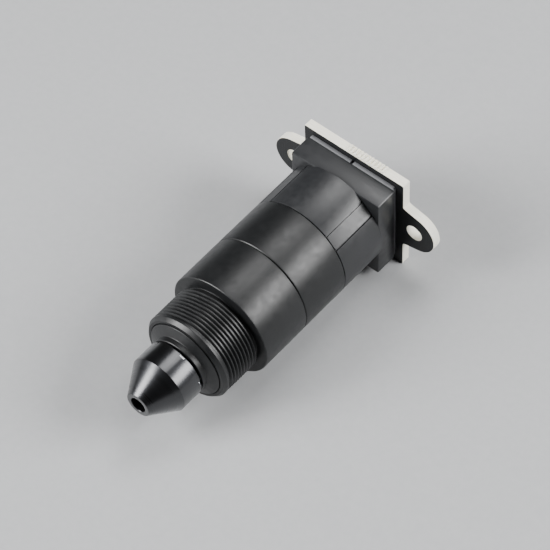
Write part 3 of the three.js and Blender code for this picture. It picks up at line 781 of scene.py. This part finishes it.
def ring_of(node):
    """A rubber ring's centre radius, cord radius and place along the axis."""
    front, back, radius = reach(node)
    cord = (back - front) / 2
    return radius - cord, cord, (front + back) / 2


def groove_for(node, wall):
    """The groove that a rubber ring sits in, as outline corners from front to back."""
    ring, cord, y = ring_of(node)
    floor = ring - cord - RING_SLACK
    return [(wall, y - RING_GROOVE, 0.04), (floor, y - RING_GROOVE, 0.08),
            (floor, y + RING_GROOVE, 0.08), (wall, y + RING_GROOVE, 0.04)]


def make_nozzle():
    front, back, radius = reach("nozzle")
    cone = front + CONE_LENGTH
    rim = reach("nozzle_bush")[0] - NOZZLE_GAP
    body = lathe([
        (TIP_R, front, 0.12), (radius, cone, 0.1), (radius, rim, 0.22), (STEM_R, rim, 0.1),
        *groove_for("nozzle_seal_ring", STEM_R), (STEM_R, back, 0.1), (STEM_BORE_R, back, 0.1),
        (TIP_BORE_R, cone, 0.6), (TIP_BORE_R, front, 0.12),
    ])
    # The cutters carry bare aluminium onto the faces they cut, so the notches show bright on the black rim.
    # This is partly the bare metal that notches milled through the dye would show, and partly a painted
    # glint standing in for the rim's highlights.
    notches = []
    for i in range(NOTCHES):
        notch = slab(0, radius, NOTCH_WIDTH, 2 * NOTCH_DEPTH, rim - NOTCH_HEIGHT, rim + NOTCH_HEIGHT, 0.12)
        notch.transform(Matrix.Rotation(NOTCH_FIRST + 2 * math.pi * i / NOTCHES, 4, "Y"))
        notches.append(painted(notch, ALUMINIUM))
    nozzle = combine(painted(body, ANODISED), notches, "DIFFERENCE")
    finish_piece("horn_nozzle", nozzle, "nozzle_black", "nozzle", body="nozzle")


def make_rubber_rings():
    for node, body in (("nozzle_seal_ring", "seal_ring"), ("front_seal_ring", "housing"),
                       ("rear_seal_ring", "housing")):
        ring, cord, y = ring_of(node)
        turns = [2 * math.pi * i / 20 for i in range(20)]
        made = painted(lathe([(ring + cord * math.cos(a), y + cord * math.sin(a)) for a in turns]), RUBBER)
        finish_piece(node.replace("seal_ring", "o_ring"), made, "seal_rubber", node, body=body)


def make_bush():
    front, back, rim_r = reach("nozzle_bush")
    face = reach("front_barrel")[0]
    rim_back = face + BUSH_RIM
    made = lathe([
        (rim_r, face - EDGE, 0.12), (rim_r, rim_back, 0.05), (COLLAR_BORE_R - SLIP, rim_back, 0.05),
        (COLLAR_BORE_R - SLIP, back, 0.1), (BUSH_BORE_R, back, 0.1), (BUSH_BORE_R, front, 0.15),
        (BOSS_R, front, 0.2), (BOSS_R, face - BOSS_DEPTH, 0.15),
    ])
    finish_piece("threaded_bush", painted(made, BARREL), "barrel_black", "nozzle_bush")


def make_front_barrel():
    face, back, radius = reach("front_barrel")
    bush_back, bush_r = face + BUSH_RIM + SLIP, reach("nozzle_bush")[2] + SLIP
    shoulder = face + COLLAR_LENGTH
    root = THREAD_CREST_R - THREAD_HEIGHT
    land, relief = face + THREAD_LAND, shoulder - RELIEF
    core = lathe([
        (COLLAR_FACE_R, face, 0.06), (THREAD_CREST_R, face + COLLAR_CHAMFER, 0.08),
        (THREAD_CREST_R, land, 0.05), (root, land + THREAD_RUN_IN, 0.05), (root, relief, 0.05),
        (COLLAR_RELIEF_R, relief + EDGE, 0.1), (COLLAR_RELIEF_R, shoulder, 0.1), (radius, shoulder, 0.28),
        (radius, back, 0.16),
        (BARREL_BORE_R, back, 0.08), (BARREL_BORE_R, shoulder + SHOULDER_WALL, 0.1),
        (COLLAR_BORE_R, shoulder + SHOULDER_WALL, 0.1), (COLLAR_BORE_R, bush_back, 0.05),
        (bush_r, bush_back, 0.05), (bush_r, face, 0.08),
    ])
    turns = (relief - land) / THREAD_PITCH - THREAD_FADE / 2
    ridge = grown(THREAD, Turns=turns, Pitch=THREAD_PITCH, Radius=root, Steps=SHELL_SIDES,
                  Height=THREAD_HEIGHT, Base=THREAD_FOOT * THREAD_PITCH, Crest=THREAD_CREST * THREAD_PITCH,
                  Fade=THREAD_FADE / turns, Start=(0, land + THREAD_RUN_IN, 0), Material=BARREL)
    made = painted(combine(core, [ridge], "UNION"), BARREL)
    finish_piece("collar_and_front_barrel", made, "barrel_black", "front_barrel")


def make_middle_barrel():
    front, back, radius = reach("middle_barrel")
    seam = front + SPIGOT_REACH
    made = lathe([
        (SPIGOT_R, front, 0.15), *groove_for("front_seal_ring", SPIGOT_R), (SPIGOT_R, seam, 0.05),
        (radius, seam, 0.3), (radius, back, 0.16), (BARREL_BORE_R, back, 0.08),
        (BARREL_BORE_R, seam + SPIGOT_STEP, 0.1), (SPIGOT_BORE_R, seam + SPIGOT_STEP, 0.1),
        (SPIGOT_BORE_R, front, 0.1),
    ])
    finish_piece("middle_barrel_shell", painted(made, BARREL), "barrel_black", "middle_barrel")


# ---- Rear shell ----

FLANGE_W, FLANGE_H, FLANGE_T = 17.6, 17.2, 4.1
RAIL_HALF = math.radians(8.4)
RAIL_GROOVE_W, RAIL_GROOVE_D = 0.25, 0.25
CORNERS = [(1, 1), (-1, 1), (-1, -1), (1, -1)]
SCREW_X, SCREW_Z = 7.0, 6.8
PILOT_R, PILOT_DEPTH = 0.85, 3.5


def rail_radius(off, radius):
    """The rear shell's radius at an angle off a corner: a flat rail between two fine grooves, then round."""
    groove = RAIL_GROOVE_W / 2 / radius
    if abs(off - RAIL_HALF) < groove:
        return radius - RAIL_GROOVE_D
    if off < RAIL_HALF:
        return radius * math.cos(RAIL_HALF) / math.cos(off)
    return radius


def railed_bar(radius, front, back):
    """A solid bar with the four rails, its front edge softened."""
    groove = RAIL_GROOVE_W / 2 / radius
    wall = math.radians(0.12)
    edges = [RAIL_HALF - groove - wall, RAIL_HALF - groove + wall, RAIL_HALF + groove - wall,
             RAIL_HALF + groove + wall]
    quarter = math.pi / 2
    offs = sorted(edges + [-e for e in edges] + [math.radians(2.5 * i) for i in range(-18, 18)])
    angles = [(k + 0.5) * quarter + off for k in range(4) for off in offs]
    rings = [(front, 0.14), (front + 0.04, 0.05), (front + 0.14, 0.0), (back, 0.0)]
    points = [(0, front, 0), (0, back, 0)]
    for y, inward in rings:
        for angle in angles:
            off = abs((angle % quarter) - quarter / 2)
            r = rail_radius(off, radius) - inward
            points.append((r * math.sin(angle), y, r * math.cos(angle)))
    count = len(angles)
    faces = []
    for i in range(count):
        after = (i + 1) % count
        faces.append((0, 2 + i, 2 + after))
        faces.append((1, 2 + (len(rings) - 1) * count + i, 2 + (len(rings) - 1) * count + after))
        for level in range(len(rings) - 1):
            a, b = 2 + level * count + i, 2 + level * count + after
            faces.append((a, b, b + count, a + count))
    return mesh_of(points, faces)


def make_rear_shell():
    front, back, _ = reach("rear_shell")
    radius = reach("front_barrel")[2]
    seam, flange_front = front + SPIGOT_REACH, back - FLANGE_T
    spigot = lathe([
        (0, front), (SPIGOT_R, front, 0.15), *groove_for("rear_seal_ring", SPIGOT_R), (SPIGOT_R, seam + 1),
        (0, seam + 1),
    ])
    bar = railed_bar(radius, seam, flange_front + EDGE)
    flange = slab(0, 0, FLANGE_W, FLANGE_H, flange_front, back, 0.35, 0.16)
    bore = rod(SPIGOT_BORE_R, front - 1, back + 1, sides=SHELL_SIDES)
    pilots = [rod(PILOT_R, back - PILOT_DEPTH, back + 1, x=sx * SCREW_X, z=sz * SCREW_Z)
              for sx, sz in CORNERS]
    solid = combine(spigot, [bar, flange], "UNION")
    made = painted(combine(solid, [bore, *pilots], "DIFFERENCE"), SHELL)
    finish_piece("rear_shell_and_flange", made, "shell_black", "rear_shell")


# ---- Gasket and circuit board ----

BOARD_HALF = 10.0
EAR_X, EAR_R, EAR_ROOT, EAR_HOLE_R = 12.25, 3.9, 4.5, 1.5
SCREW_HOLE_R = 1.0
TAB_TEETH, TAB_X, TAB_PITCH, TAB_HEIGHT = 11, -1.35, 0.7, 0.3


def make_gasket():
    _, _, w, h, front, back = footprint("flange_gasket")
    notch = 0.5
    outline = [
        (-w / 2, -h / 2, 0.4), (w / 2, -h / 2, 0.4), (w / 2, h / 2, 0.4), (notch / 2, h / 2, 0.05),
        (notch / 2, h / 2 - notch, 0.05), (-notch / 2, h / 2 - notch, 0.05), (-notch / 2, h / 2, 0.05),
        (-w / 2, h / 2, 0.4),
    ]
    holes = [circle(SPIGOT_BORE_R, sides=SHELL_SIDES)]
    holes += [circle(SCREW_HOLE_R, sx * SCREW_X, sz * SCREW_Z, 32) for sx, sz in CORNERS]
    made = plate(soften(outline), front, back, holes, 0.04)
    finish_piece("silicone_gasket", painted(made, SILICONE), "gasket_silicone", "flange_gasket")


def board_outline():
    """The board's outline, anticlockwise from its bottom right corner, with an ear on each side."""
    lean = math.atan2(EAR_ROOT - EAR_R, EAR_X - BOARD_HALF)
    sweep_half = math.pi / 2 - lean
    steps = 40
    ear = [(EAR_X + EAR_R * math.cos(a), EAR_R * math.sin(a))
           for a in (-sweep_half + 2 * sweep_half * i / steps for i in range(steps + 1))]
    corner = 0.3
    right = [(BOARD_HALF, -BOARD_HALF, corner), (BOARD_HALF, -EAR_ROOT, 0.5), *ear,
             (BOARD_HALF, EAR_ROOT, 0.5), (BOARD_HALF, BOARD_HALF, corner)]
    left = [(-x, z, *radius) for x, z, *radius in reversed(right)]
    return soften(right + left)


def tab_stubs(thickness):
    """What is left along the top edge where a perforated tab was snapped off: short broken stubs."""
    torn = [(-0.22, -0.3), (0.22, -0.3), (0.18, 0.06), (0.12, TAB_HEIGHT), (-0.02, 0.24),
            (-0.11, TAB_HEIGHT), (-0.2, 0.05)]
    stub = plate([Vector(p) for p in torn], 0.1, thickness - 0.1, edge=0.03)
    return repeated(stub, [(TAB_X + i * TAB_PITCH, 0, BOARD_HALF) for i in range(TAB_TEETH)], LAMINATE)


def make_board():
    thickness = reach("circuit_board")[1]
    holes = [circle(EAR_HOLE_R, side * EAR_X, 0, 64) for side in (1, -1)]
    holes += [circle(SCREW_HOLE_R, sx * SCREW_X, sz * SCREW_Z) for sx, sz in CORNERS]
    made = combine(plate(board_outline(), 0, thickness, holes, 0.04, 1), [tab_stubs(thickness)], "UNION")
    made.materials.clear()
    for material in (MASK, LAMINATE):
        made.materials.append(material)
    # The mask covers the two flat faces, and ends just short of the torn edge.
    for face in made.polygons:
        masked = abs(face.normal.y) > 0.95 and abs(face.center.z) < BOARD_HALF - 0.02
        face.material_index = 0 if masked else 1
    finish_piece("board_with_ears", made, "board_laminate", "circuit_board")


TRACK_W, TRACK_T = 0.28, 0.05
# Copper tracks on the back of the board, each a chain of corners (x, z).
TRACK_ROUTES = [
    [(-2.25, -6.2), (-2.25, -4.2), (-2.7, -3.5)],
    [(-0.75, -6.2), (-0.75, -4.2), (-1.4, -3.5)],
    [(0.75, -6.2), (0.75, -4.6), (1.3, -4.0)],
    [(2.25, -6.2), (2.25, -4.6), (6.2, -4.6), (6.8, -4.4)],
    [(-6.5, -2.4), (-6.1, -2.0), (-5.7, -2.0)],
    [(-6.2, 2.4), (-5.6, 1.8), (-5.2, 1.8)],
    [(-7.4, 1.2), (-7.4, 0.2), (-5.7, -0.6)],
    [(-3.5, 2.4), (-3.5, 1.6)],
    [(-2.2, 2.4), (-2.2, 1.6)],
    [(-1.0, 2.4), (-1.0, 1.6)],
    [(0.3, 2.4), (0.3, 1.9), (0.8, 1.6)],
    [(2.5, 4.4), (2.5, 2.8), (2.9, 2.2)],
    [(4.4, 4.4), (4.4, 3.4), (6.6, 3.4), (7.1, 1.9)],
    [(7.1, 0.4), (7.1, -0.6)],
    [(8.5, 0.4), (8.5, -0.6)],
    [(8.5, 3.2), (8.5, 1.9)],
    [(7.1, -2.2), (7.1, -3.1)],
    [(8.5, -2.2), (8.5, -3.1)],
    [(-7.7, -4.3), (-7.7, -4.8), (-4.6, -4.8)],
]
VIAS = [
    (-9.2, 8.9), (9.2, 8.9), (-9.2, -8.9), (9.2, -8.9), (-6.0, -4.2), (-4.9, 2.6), (5.4, 2.7), (1.4, 2.7),
    (-4.6, 8.9), (-9.4, 0.4), (4.6, 8.9), (5.6, 4.5), (-5.2, 4.4), (9.4, -5.2), (-5.2, -8.6), (0, 8.9),
]


def make_tracks():
    """Tracks and plated holes stand a hair proud of the board's back face, under the same mask."""
    back = span("circuit_board")[1].y
    seed = bpy.data.meshes.new("routes")
    points, edges = [], []
    for route in TRACK_ROUTES:
        start = len(points)
        points += [(x, back, z) for x, z in route]
        edges += [(start + i, start + i + 1) for i in range(len(route) - 1)]
    seed.from_pydata(points, edges, [])
    tracks = grown(TRACKS, seed, Width=TRACK_W, Thickness=2 * TRACK_T, Material=MASK)
    collar = lathe([(0.34, back - 0.1), (0.34, back + TRACK_T, 0.03), (0.16, back + TRACK_T, 0.03),
                    (0.16, back - 0.1)], 24)
    vias = repeated(collar, [(x, 0, z) for x, z in VIAS], MASK)
    finish_piece("board_tracks", together(tracks, vias), "board_laminate")


# ---- Transducer and its wiring ----

HORN_MOUTH_R, THROAT_STEPS, THROAT_FLARE = 6.0, 8, 1.6
CAN_WALL, CAN_FACE = 0.6, 0.8
TERMINAL_X, TERMINAL_R, TERMINAL_HOLE = 2.54, 0.35, 0.5
LEAD_R, LEAD_STEPS = 0.5, 40
LEAD_OUT, LEAD_IN, LEAD_BOW, LEAD_RISE, LEAD_END = 7, 6, 1.6, 3.2, 4


def make_horn():
    front, back, radius = reach("focus_horn")
    shoulder_back = reach("front_barrel")[0] + COLLAR_LENGTH + SHOULDER_WALL + SLIP
    # The horn's throat opens along a curve towards its mouth.
    throat = []
    for share in (1 - i / THROAT_STEPS for i in range(THROAT_STEPS + 1)):
        opening = (HORN_MOUTH_R - STEM_BORE_R) * share**THROAT_FLARE
        throat.append((STEM_BORE_R + opening, front + (back - front) * share))
    made = lathe([
        (COLLAR_BORE_R - SLIP, front, 0.1), (COLLAR_BORE_R - SLIP, shoulder_back, 0.05),
        (radius, shoulder_back, 0.1), (radius, back, 0.1), *throat,
    ])
    finish_piece("sound_horn", painted(made, POLYCARBONATE), "horn_plastic", "focus_horn")


def make_can():
    front, back, radius = reach("transducer_can")
    made = lathe([
        (0, front), (3.6, front, 0.2), (3.8, front + 0.12, 0.1), (4.6, front + 0.12, 0.1), (4.8, front, 0.2),
        (radius, front, 0.3), (radius, back, 0.08), (radius - CAN_WALL, back, 0.08),
        (radius - CAN_WALL, front + CAN_FACE, 0.2), (0, front + CAN_FACE),
    ])
    finish_piece("aluminium_can", painted(made, ALUMINIUM), "can_aluminium", "transducer_can")


def make_damping_pad():
    """A foam disc, a little crowned on both faces, its rim pulled in where the cut pinched it."""
    front, back, radius = reach("damping_pad")
    middle, half, crown = (front + back) / 2, (back - front) / 2, 0.12
    rim = [(radius, middle - half + crown, 0.3), (radius - crown, middle, 0.6),
           (radius, middle + half - crown, 0.3)]
    face = [(radius * k / 6, half - crown * (k / 6) ** 2) for k in range(6)]
    outline = [(r, middle - h) for r, h in face] + rim + [(r, middle + h) for r, h in reversed(face)]
    pad = finish_piece("foam_damping_pad", painted(lathe(outline), FOAM), "damping_foam", "damping_pad")


def make_transducer_parts():
    piezo_front, piezo_back, piezo_r = reach("piezo_disc")
    piezo = rod(piezo_r, piezo_front, piezo_back, 0.08)
    finish_piece("piezo_wafer", painted(piezo, FIRED_SILVER), "silvered_ceramic", "piezo_disc")
    for node, name, material, slot in (
        ("transducer_base", "phenolic_base", PHENOLIC, "terminal_plate"),
        ("potting_plug", "potted_seal", POTTING, "potting_resin"),
    ):
        front, back, radius = reach(node)
        rim = list(reversed(circle(radius, sides=SMALL_SIDES)))
        holes = [circle(TERMINAL_HOLE, side * TERMINAL_X, 0, 24) for side in (1, -1)]
        finish_piece(name, painted(plate(rim, front, back, holes, 0.1), material), slot, node)
    front, back, radius = reach("transducer_boot")
    bore = reach("transducer_can")[2] + SLIP / 2
    boot = lathe([(radius, front, 0.2), (radius, back, 0.2), (bore, back, 0.2), (bore, front, 0.2)])
    finish_piece("rubber_boot", painted(boot, RUBBER), "seal_rubber", "transducer_boot")


def make_terminals_and_leads():
    """Two pins, and a lead from each to the board along one smooth curve between five points."""
    sides = ((-1, "left", RED_PVC, "red_wire"), (1, "right", BLACK_PVC, "black_wire"))
    for side, label, material, slot in sides:
        front, back, _ = reach("terminal_" + label)
        x = side * TERMINAL_X
        pin = painted(rod(TERMINAL_R, front, back, 0.12, 24, x), TINNED)
        finish_piece("terminal_pin_" + label, pin, "tinned_pin", "terminal_" + label)
        start, end = back + SLIP, -SLIP
        bend = [(x, start, 0), (x, start + LEAD_OUT, 0), (x + LEAD_BOW * side, start / 2, LEAD_RISE),
                (x, end - LEAD_IN, LEAD_END), (x, end, LEAD_END)]
        route = []
        for step in range(LEAD_STEPS + 1):
            level = [Vector(p) for p in bend]
            while len(level) > 1:
                level = [a.lerp(b, step / LEAD_STEPS) for a, b in zip(level, level[1:])]
            route.append(level[0])
        lead = painted(sweep(route, LEAD_R), material)
        finish_piece("insulated_lead_" + label, lead, slot, "lead_" + label)


# ---- Screws ----

SCREW_SHANK, SCREW_CORE, SCREW_HEAD, SCREW_PITCH = 0.75, 0.61, 1.7, 0.5
RECESS_L, RECESS_W, RECESS_DEPTH = 2.0, 0.42, 0.5


def make_screws():
    """Four pan-head screws with a cross recess and a cut thread."""
    front, back, _ = reach("board_screw_1")
    seat = span("circuit_board")[1].y
    dome = [(SCREW_HEAD, seat, 0.1), (SCREW_HEAD, seat + 0.4, 0.25), (SCREW_HEAD - 0.55, back - 0.05, 0.4),
            (0, back)]
    core = lathe([
        (0, front), (SCREW_CORE - 0.25, front, 0.1), (SCREW_CORE, front + 0.3, 0.1),
        (SCREW_CORE, seat - 1.2, 0.05), (SCREW_SHANK, seat - 1.1, 0.05), (SCREW_SHANK, seat), *dome,
    ], 48)
    ridge = grown(WINDING, Turns=5.2, Pitch=SCREW_PITCH, Radius=SCREW_CORE, Steps=32, Height=0.13,
                  Start=(0, front + 0.35, 0), Material=ZINC)
    arms = [slab(0, 0, w, d, back - RECESS_DEPTH, back + 1, 0.15, 0.05)
            for w, d in ((RECESS_L, RECESS_W), (RECESS_W, RECESS_L))]
    screw = combine(combine(core, [ridge], "UNION"), arms, "DIFFERENCE")
    places = [(sx * SCREW_X, 0, sz * SCREW_Z) for sx, sz in CORNERS]
    names = [f"board_screw_{i + 1}" for i in range(len(CORNERS))]
    finish_piece("board_screws", repeated(screw, places, ZINC), "screw_steel", *names)


# ---- Parts on the board's back face ----


def make_header():
    x, z, w, d, front, back = footprint("header_housing")
    wall, floor, key_x, key_w, window_w = 0.6, 1.0, 2.6, 1.0, 2.2
    body = slab(x, z, w, d, front, back, 0.15, 0.1)
    cavity = slab(x, z, w - 2 * wall, d - 2 * wall, front + floor, back + 1, 0.1, 0.05)
    keys = [slab(x + side * key_x, z - d / 2, key_w, 3 * wall, front + 1.6, back + 1, 0.05, 0.03)
            for side in (1, -1)]
    window = slab(x, z + d / 2, window_w, 3 * wall, front + 2.2, back + 1, 0.05, 0.03)
    names = [f"header_pin_{i}" for i in range(1, 5)]
    pins_x = [footprint(name)[0] for name in names]
    _, _, size, _, pin_front, pin_back = footprint(names[0])
    slots = [slab(px, z, size + 0.2, size + 0.2, front - 1, front + floor + 1, 0.03, 0) for px in pins_x]
    made = painted(combine(body, [cavity, *keys, window, *slots], "DIFFERENCE"), NYLON)
    finish_piece("header_body", made, "header_nylon", "header_housing")
    pin = tapered(0, z, size, size, pin_front, pin_back, 0.06, 0.9, 0.03)
    finish_piece("header_pins", repeated(pin, [(px, 0, 0) for px in pins_x], TINNED), "tinned_pin", *names)


CHIP_LIFT = 0.12  # between the board and a chip's body
# Each chip: its legs in a row, their pitch and their reach beyond the body.
CHIP_LEGS = {"driver_chip": (4, 1.27, 1.0), "amplifier_chip": (3, 0.95, 0.6)}


def gull_wing(reach_out, height, width=0.4, thick=0.18):
    """One leg, bent down from the middle of the body to a flat foot, drawn outwards along +Z."""
    foot = 0.45 * reach_out
    line = [(-0.2, height), (0.3 * reach_out, height), (0.52 * reach_out, thick / 2), (reach_out, thick / 2)]
    route = soften([(*p, 0.12) for p in line], closed=False)
    points, faces = [], []
    for i, here in enumerate(route):
        ahead = (route[min(i + 1, len(route) - 1)] - route[max(i - 1, 0)]).normalized()
        up = Vector((-ahead.y, ahead.x)) * thick / 2
        for x in (-width / 2, width / 2):
            points += [(x, (here + up).y, (here + up).x), (x, (here - up).y, (here - up).x)]
    for i in range(len(route) - 1):
        a = 4 * i
        faces += [(a, a + 4, a + 6, a + 2), (a + 1, a + 3, a + 7, a + 5), (a, a + 1, a + 5, a + 4),
                  (a + 2, a + 6, a + 7, a + 3)]
    last = 4 * (len(route) - 1)
    faces += [(0, 2, 3, 1), (last, last + 1, last + 3, last + 2)]
    pad = slab(0, reach_out - foot / 2, width + 0.2, foot + 0.25, 0, 0.05, 0.05, 0.02)
    return mesh_of(points, faces), pad


def make_gull_wing_chips():
    board_back = span("circuit_board")[1].y
    for node, (count, pitch, reach_out) in CHIP_LEGS.items():
        x, z, w, over_legs, _, top = footprint(node)
        d = over_legs - 2 * reach_out
        body = tapered(x, z, w, d, board_back + CHIP_LIFT, top, 0.14)
        dimple = rod(0.22, top - 0.06, top + 1, 0, 24, x - w / 2 + 0.6, z - d / 2 + 0.6)
        body = painted(combine(body, [dimple], "DIFFERENCE"), EPOXY)
        leg, pad = gull_wing(reach_out, (top - board_back) / 2)
        leg_maker, pad_maker = linked(painted(leg, TINNED), "unit"), linked(painted(pad, SOLDER), "unit")
        sizes = {"Count": count, "Pitch": pitch, "Row": d / 2, "Centre": (x, board_back, z)}
        legs = grown(LEGS, None, (leg_maker,), Unit=leg_maker, Material=TINNED, **sizes)
        pads = grown(LEGS, None, (pad_maker,), Unit=pad_maker, Material=SOLDER, **sizes)
        finish_piece(node + "_body", together(body, legs, pads), "chip_epoxy", node)


def make_microcontroller():
    """A flat leadless package on a rim of solder lands."""
    x, z, w, _, front, back = footprint("microcontroller")
    body = slab(x, z, w, w, front + 0.05, back, 0.05, 0.03)
    dimple = rod(0.3, back - 0.05, back + 1, 0, 24, x - w / 2 + 0.75, z + w / 2 - 0.75)
    body = painted(combine(body, [dimple], "DIFFERENCE"), EPOXY)
    count, pitch = 6, 0.65
    land = linked(painted(slab(0, 0.1, 0.3, 0.5, 0, 0.14, 0.04, 0.03), SOLDER), "unit")
    sizes = {"Count": count, "Pitch": pitch, "Row": w / 2, "Unit": land, "Material": SOLDER}
    level = grown(LEGS, None, (), Centre=(x, front, z), **sizes)
    upright = grown(LEGS, None, (land,), Centre=(0, 0, 0), **sizes)
    upright.transform(Matrix.Translation((x, front, z)) @ Matrix.Rotation(math.pi / 2, 4, "Y"))
    finish_piece("microcontroller_body", together(body, level, upright), "chip_epoxy", "microcontroller")


def make_crystal():
    x, z, w, d, front, back = footprint("crystal")
    rim = 0.35
    base = painted(slab(x, z, w, d, front, front + 0.3, 0.12, 0.03), CERAMIC)
    lid = painted(slab(x, z, w - rim, d - rim, front + 0.3, back, 0.3, 0.14), TIN_LID)
    finish_piece("crystal_can", together(base, lid), "tinned_can", "crystal")


def make_tantalum():
    x, z, w, d, front, back = footprint("tantalum_capacitor")
    body = painted(tapered(x, z, w, d - 0.3, front + 0.1, back, 0.12), TANTALUM)
    bar = painted(slab(x, z + d / 2 - 0.75, w - 0.3, 0.5, back - 0.05, back + 0.01, 0.02, 0), ANODE_BAR)
    tab = slab(0, 0, 1.3, 0.5, front, front + 0.6, 0.05, 0.05)
    tabs = repeated(tab, [(x, 0, z - d / 2 + 0.25), (x, 0, z + d / 2 - 0.25)], SOLDER)
    finish_piece("tantalum_case", together(body, bar, tabs), "capacitor_moulding", "tantalum_capacitor")


def make_chip_parts():
    """Ceramic capacitors and film resistors: small blocks with a tinned cap at each end."""
    cap_l = 0.36
    for kind, material, top, slot in (
        ("ceramic_capacitor", CERAMIC, None, "capacitor_ceramic"),
        ("resistor", ALUMINA, GLAZE, "resistor_film"),
    ):
        names = [f"{kind}_{i}" for i in range(1, 4)]
        _, _, w, d, front, back = footprint(names[0])
        centres = [(x, 0, z) for x, z, *_ in map(footprint, names)]
        block = slab(0, 0, w - 0.08, d - 0.5, front + 0.06, back - 0.03, 0.03, 0.03)
        layers = [repeated(block, centres, material)]
        if top:
            film = slab(0, 0, w - 0.14, d - 0.6, back - 0.05, back, 0.03, 0.02)
            layers.append(repeated(film, centres, top))
        cap = slab(0, 0, w, cap_l, front, back, 0.08, 0.06)
        ends = [(x, 0, z + side * (d - cap_l) / 2) for x, _, z in centres for side in (1, -1)]
        layers.append(repeated(cap, ends, TINNED))
        finish_piece(kind + "s", together(*layers), slot, *names)


def make_status_light():
    x, z, w, d, front, back = footprint("status_light")
    base_t, cap_l = 0.25, 0.26
    base = painted(slab(x, z, w, d - 0.3, front, front + base_t, 0.05, 0.03), ALUMINA)
    dome = painted(slab(x, z, w - 0.06, d - 0.6, front + base_t, back, 0.15, 0.14), LENS)
    caps = repeated(slab(0, 0, w, cap_l, front, front + 0.3, 0.05, 0.05),
                    [(x, 0, z + side * (d - cap_l) / 2) for side in (1, -1)], TINNED)
    finish_piece("status_light_lens", together(base, dome, caps), "light_lens", "status_light")


DRUM_DISC, DRUM_POST_R, WIRE_R = 0.6, 1.2, 0.11


def make_transformer_foot():
    x, z, w, _, front, back = footprint("transformer_base")
    base = painted(slab(x, z, w, w, front + 0.1, back, 0.5, 0.1), EPOXY)
    foot = slab(0, 0, 1.4, 0.9, front, front + 0.35, 0.1, 0.05)
    feet = repeated(foot, [(x + sx * 1.9, 0, z + sz * (w / 2 - 0.4)) for sx, sz in CORNERS], SOLDER)
    finish_piece("transformer_foot", together(base, feet), "chip_epoxy", "transformer_base")


def make_drum_core():
    x, z, w, _, front, back = footprint("transformer_core")
    core_r, disc, post = w / 2, DRUM_DISC, DRUM_POST_R
    core = lathe([
        (0, front), (core_r, front, 0.15), (core_r, front + disc, 0.12), (post, front + disc, 0.1),
        (post, back - disc, 0.1), (core_r, back - disc, 0.12), (core_r, back, 0.2), (0.7, back, 0.1),
        (0.55, back - 0.15, 0.1), (0, back - 0.15),
    ], SMALL_SIDES)
    core.transform(Matrix.Translation((x, 0, z)))
    finish_piece("drum_core", painted(core, FERRITE), "ferrite_core", "transformer_core")


def make_winding():
    """The outermost layer of wire, turn by turn, on a plain ring that stands for the layers under it."""
    x, z, w, _, front, back = footprint("transformer_winding")
    coil_r, pitch = w / 2, 2.1 * WIRE_R
    under = coil_r - 1.5 * WIRE_R
    inner = lathe([(under, front, 0.05), (under, back, 0.05), (DRUM_POST_R + SLIP, back),
                   (DRUM_POST_R + SLIP, front)], SMALL_SIDES)
    layer = grown(WINDING, Turns=(back - front - 2 * WIRE_R) / pitch, Pitch=pitch, Radius=coil_r - WIRE_R,
                  Steps=64, Height=WIRE_R, Start=(0, front + WIRE_R, 0), Material=COPPER)
    coil = combine(inner, [layer], "UNION")
    coil.transform(Matrix.Translation((x, 0, z)))
    finish_piece("copper_winding", painted(coil, COPPER), "copper_winding", "transformer_winding")


# ---- Floor ----


def make_floor():
    """The sensor lies on its board's bottom edge and its barrel's shoulder, and the floor leans to suit."""
    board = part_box("circuit_board")[0]
    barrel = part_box("middle_barrel")[0]
    shoulder_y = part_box("front_barrel")[0].y + COLLAR_LENGTH * MM
    slope = (barrel.z - board.z) / (board.y - shoulder_y)
    half = 3.0
    points = [(sx * half, sy * half, board.z + slope * (board.y - sy * half)) for sx, sy in CORNERS]
    mesh = bpy.data.meshes.new("floor")
    mesh.from_pydata(points, [], [(0, 1, 2, 3)])
    mesh.materials.append(studio_floor())
    linked(mesh, "floor")


make_camera()
make_lights()
make_floor()
make_nozzle()
make_rubber_rings()
make_bush()
make_front_barrel()
make_middle_barrel()
make_rear_shell()
make_gasket()
make_board()
make_tracks()
make_horn()
make_can()
make_damping_pad()
make_transducer_parts()
make_terminals_and_leads()
make_screws()
make_header()
make_gull_wing_chips()
make_microcontroller()
make_crystal()
make_tantalum()
make_chip_parts()
make_status_light()
make_transformer_foot()
make_drum_core()
make_winding()
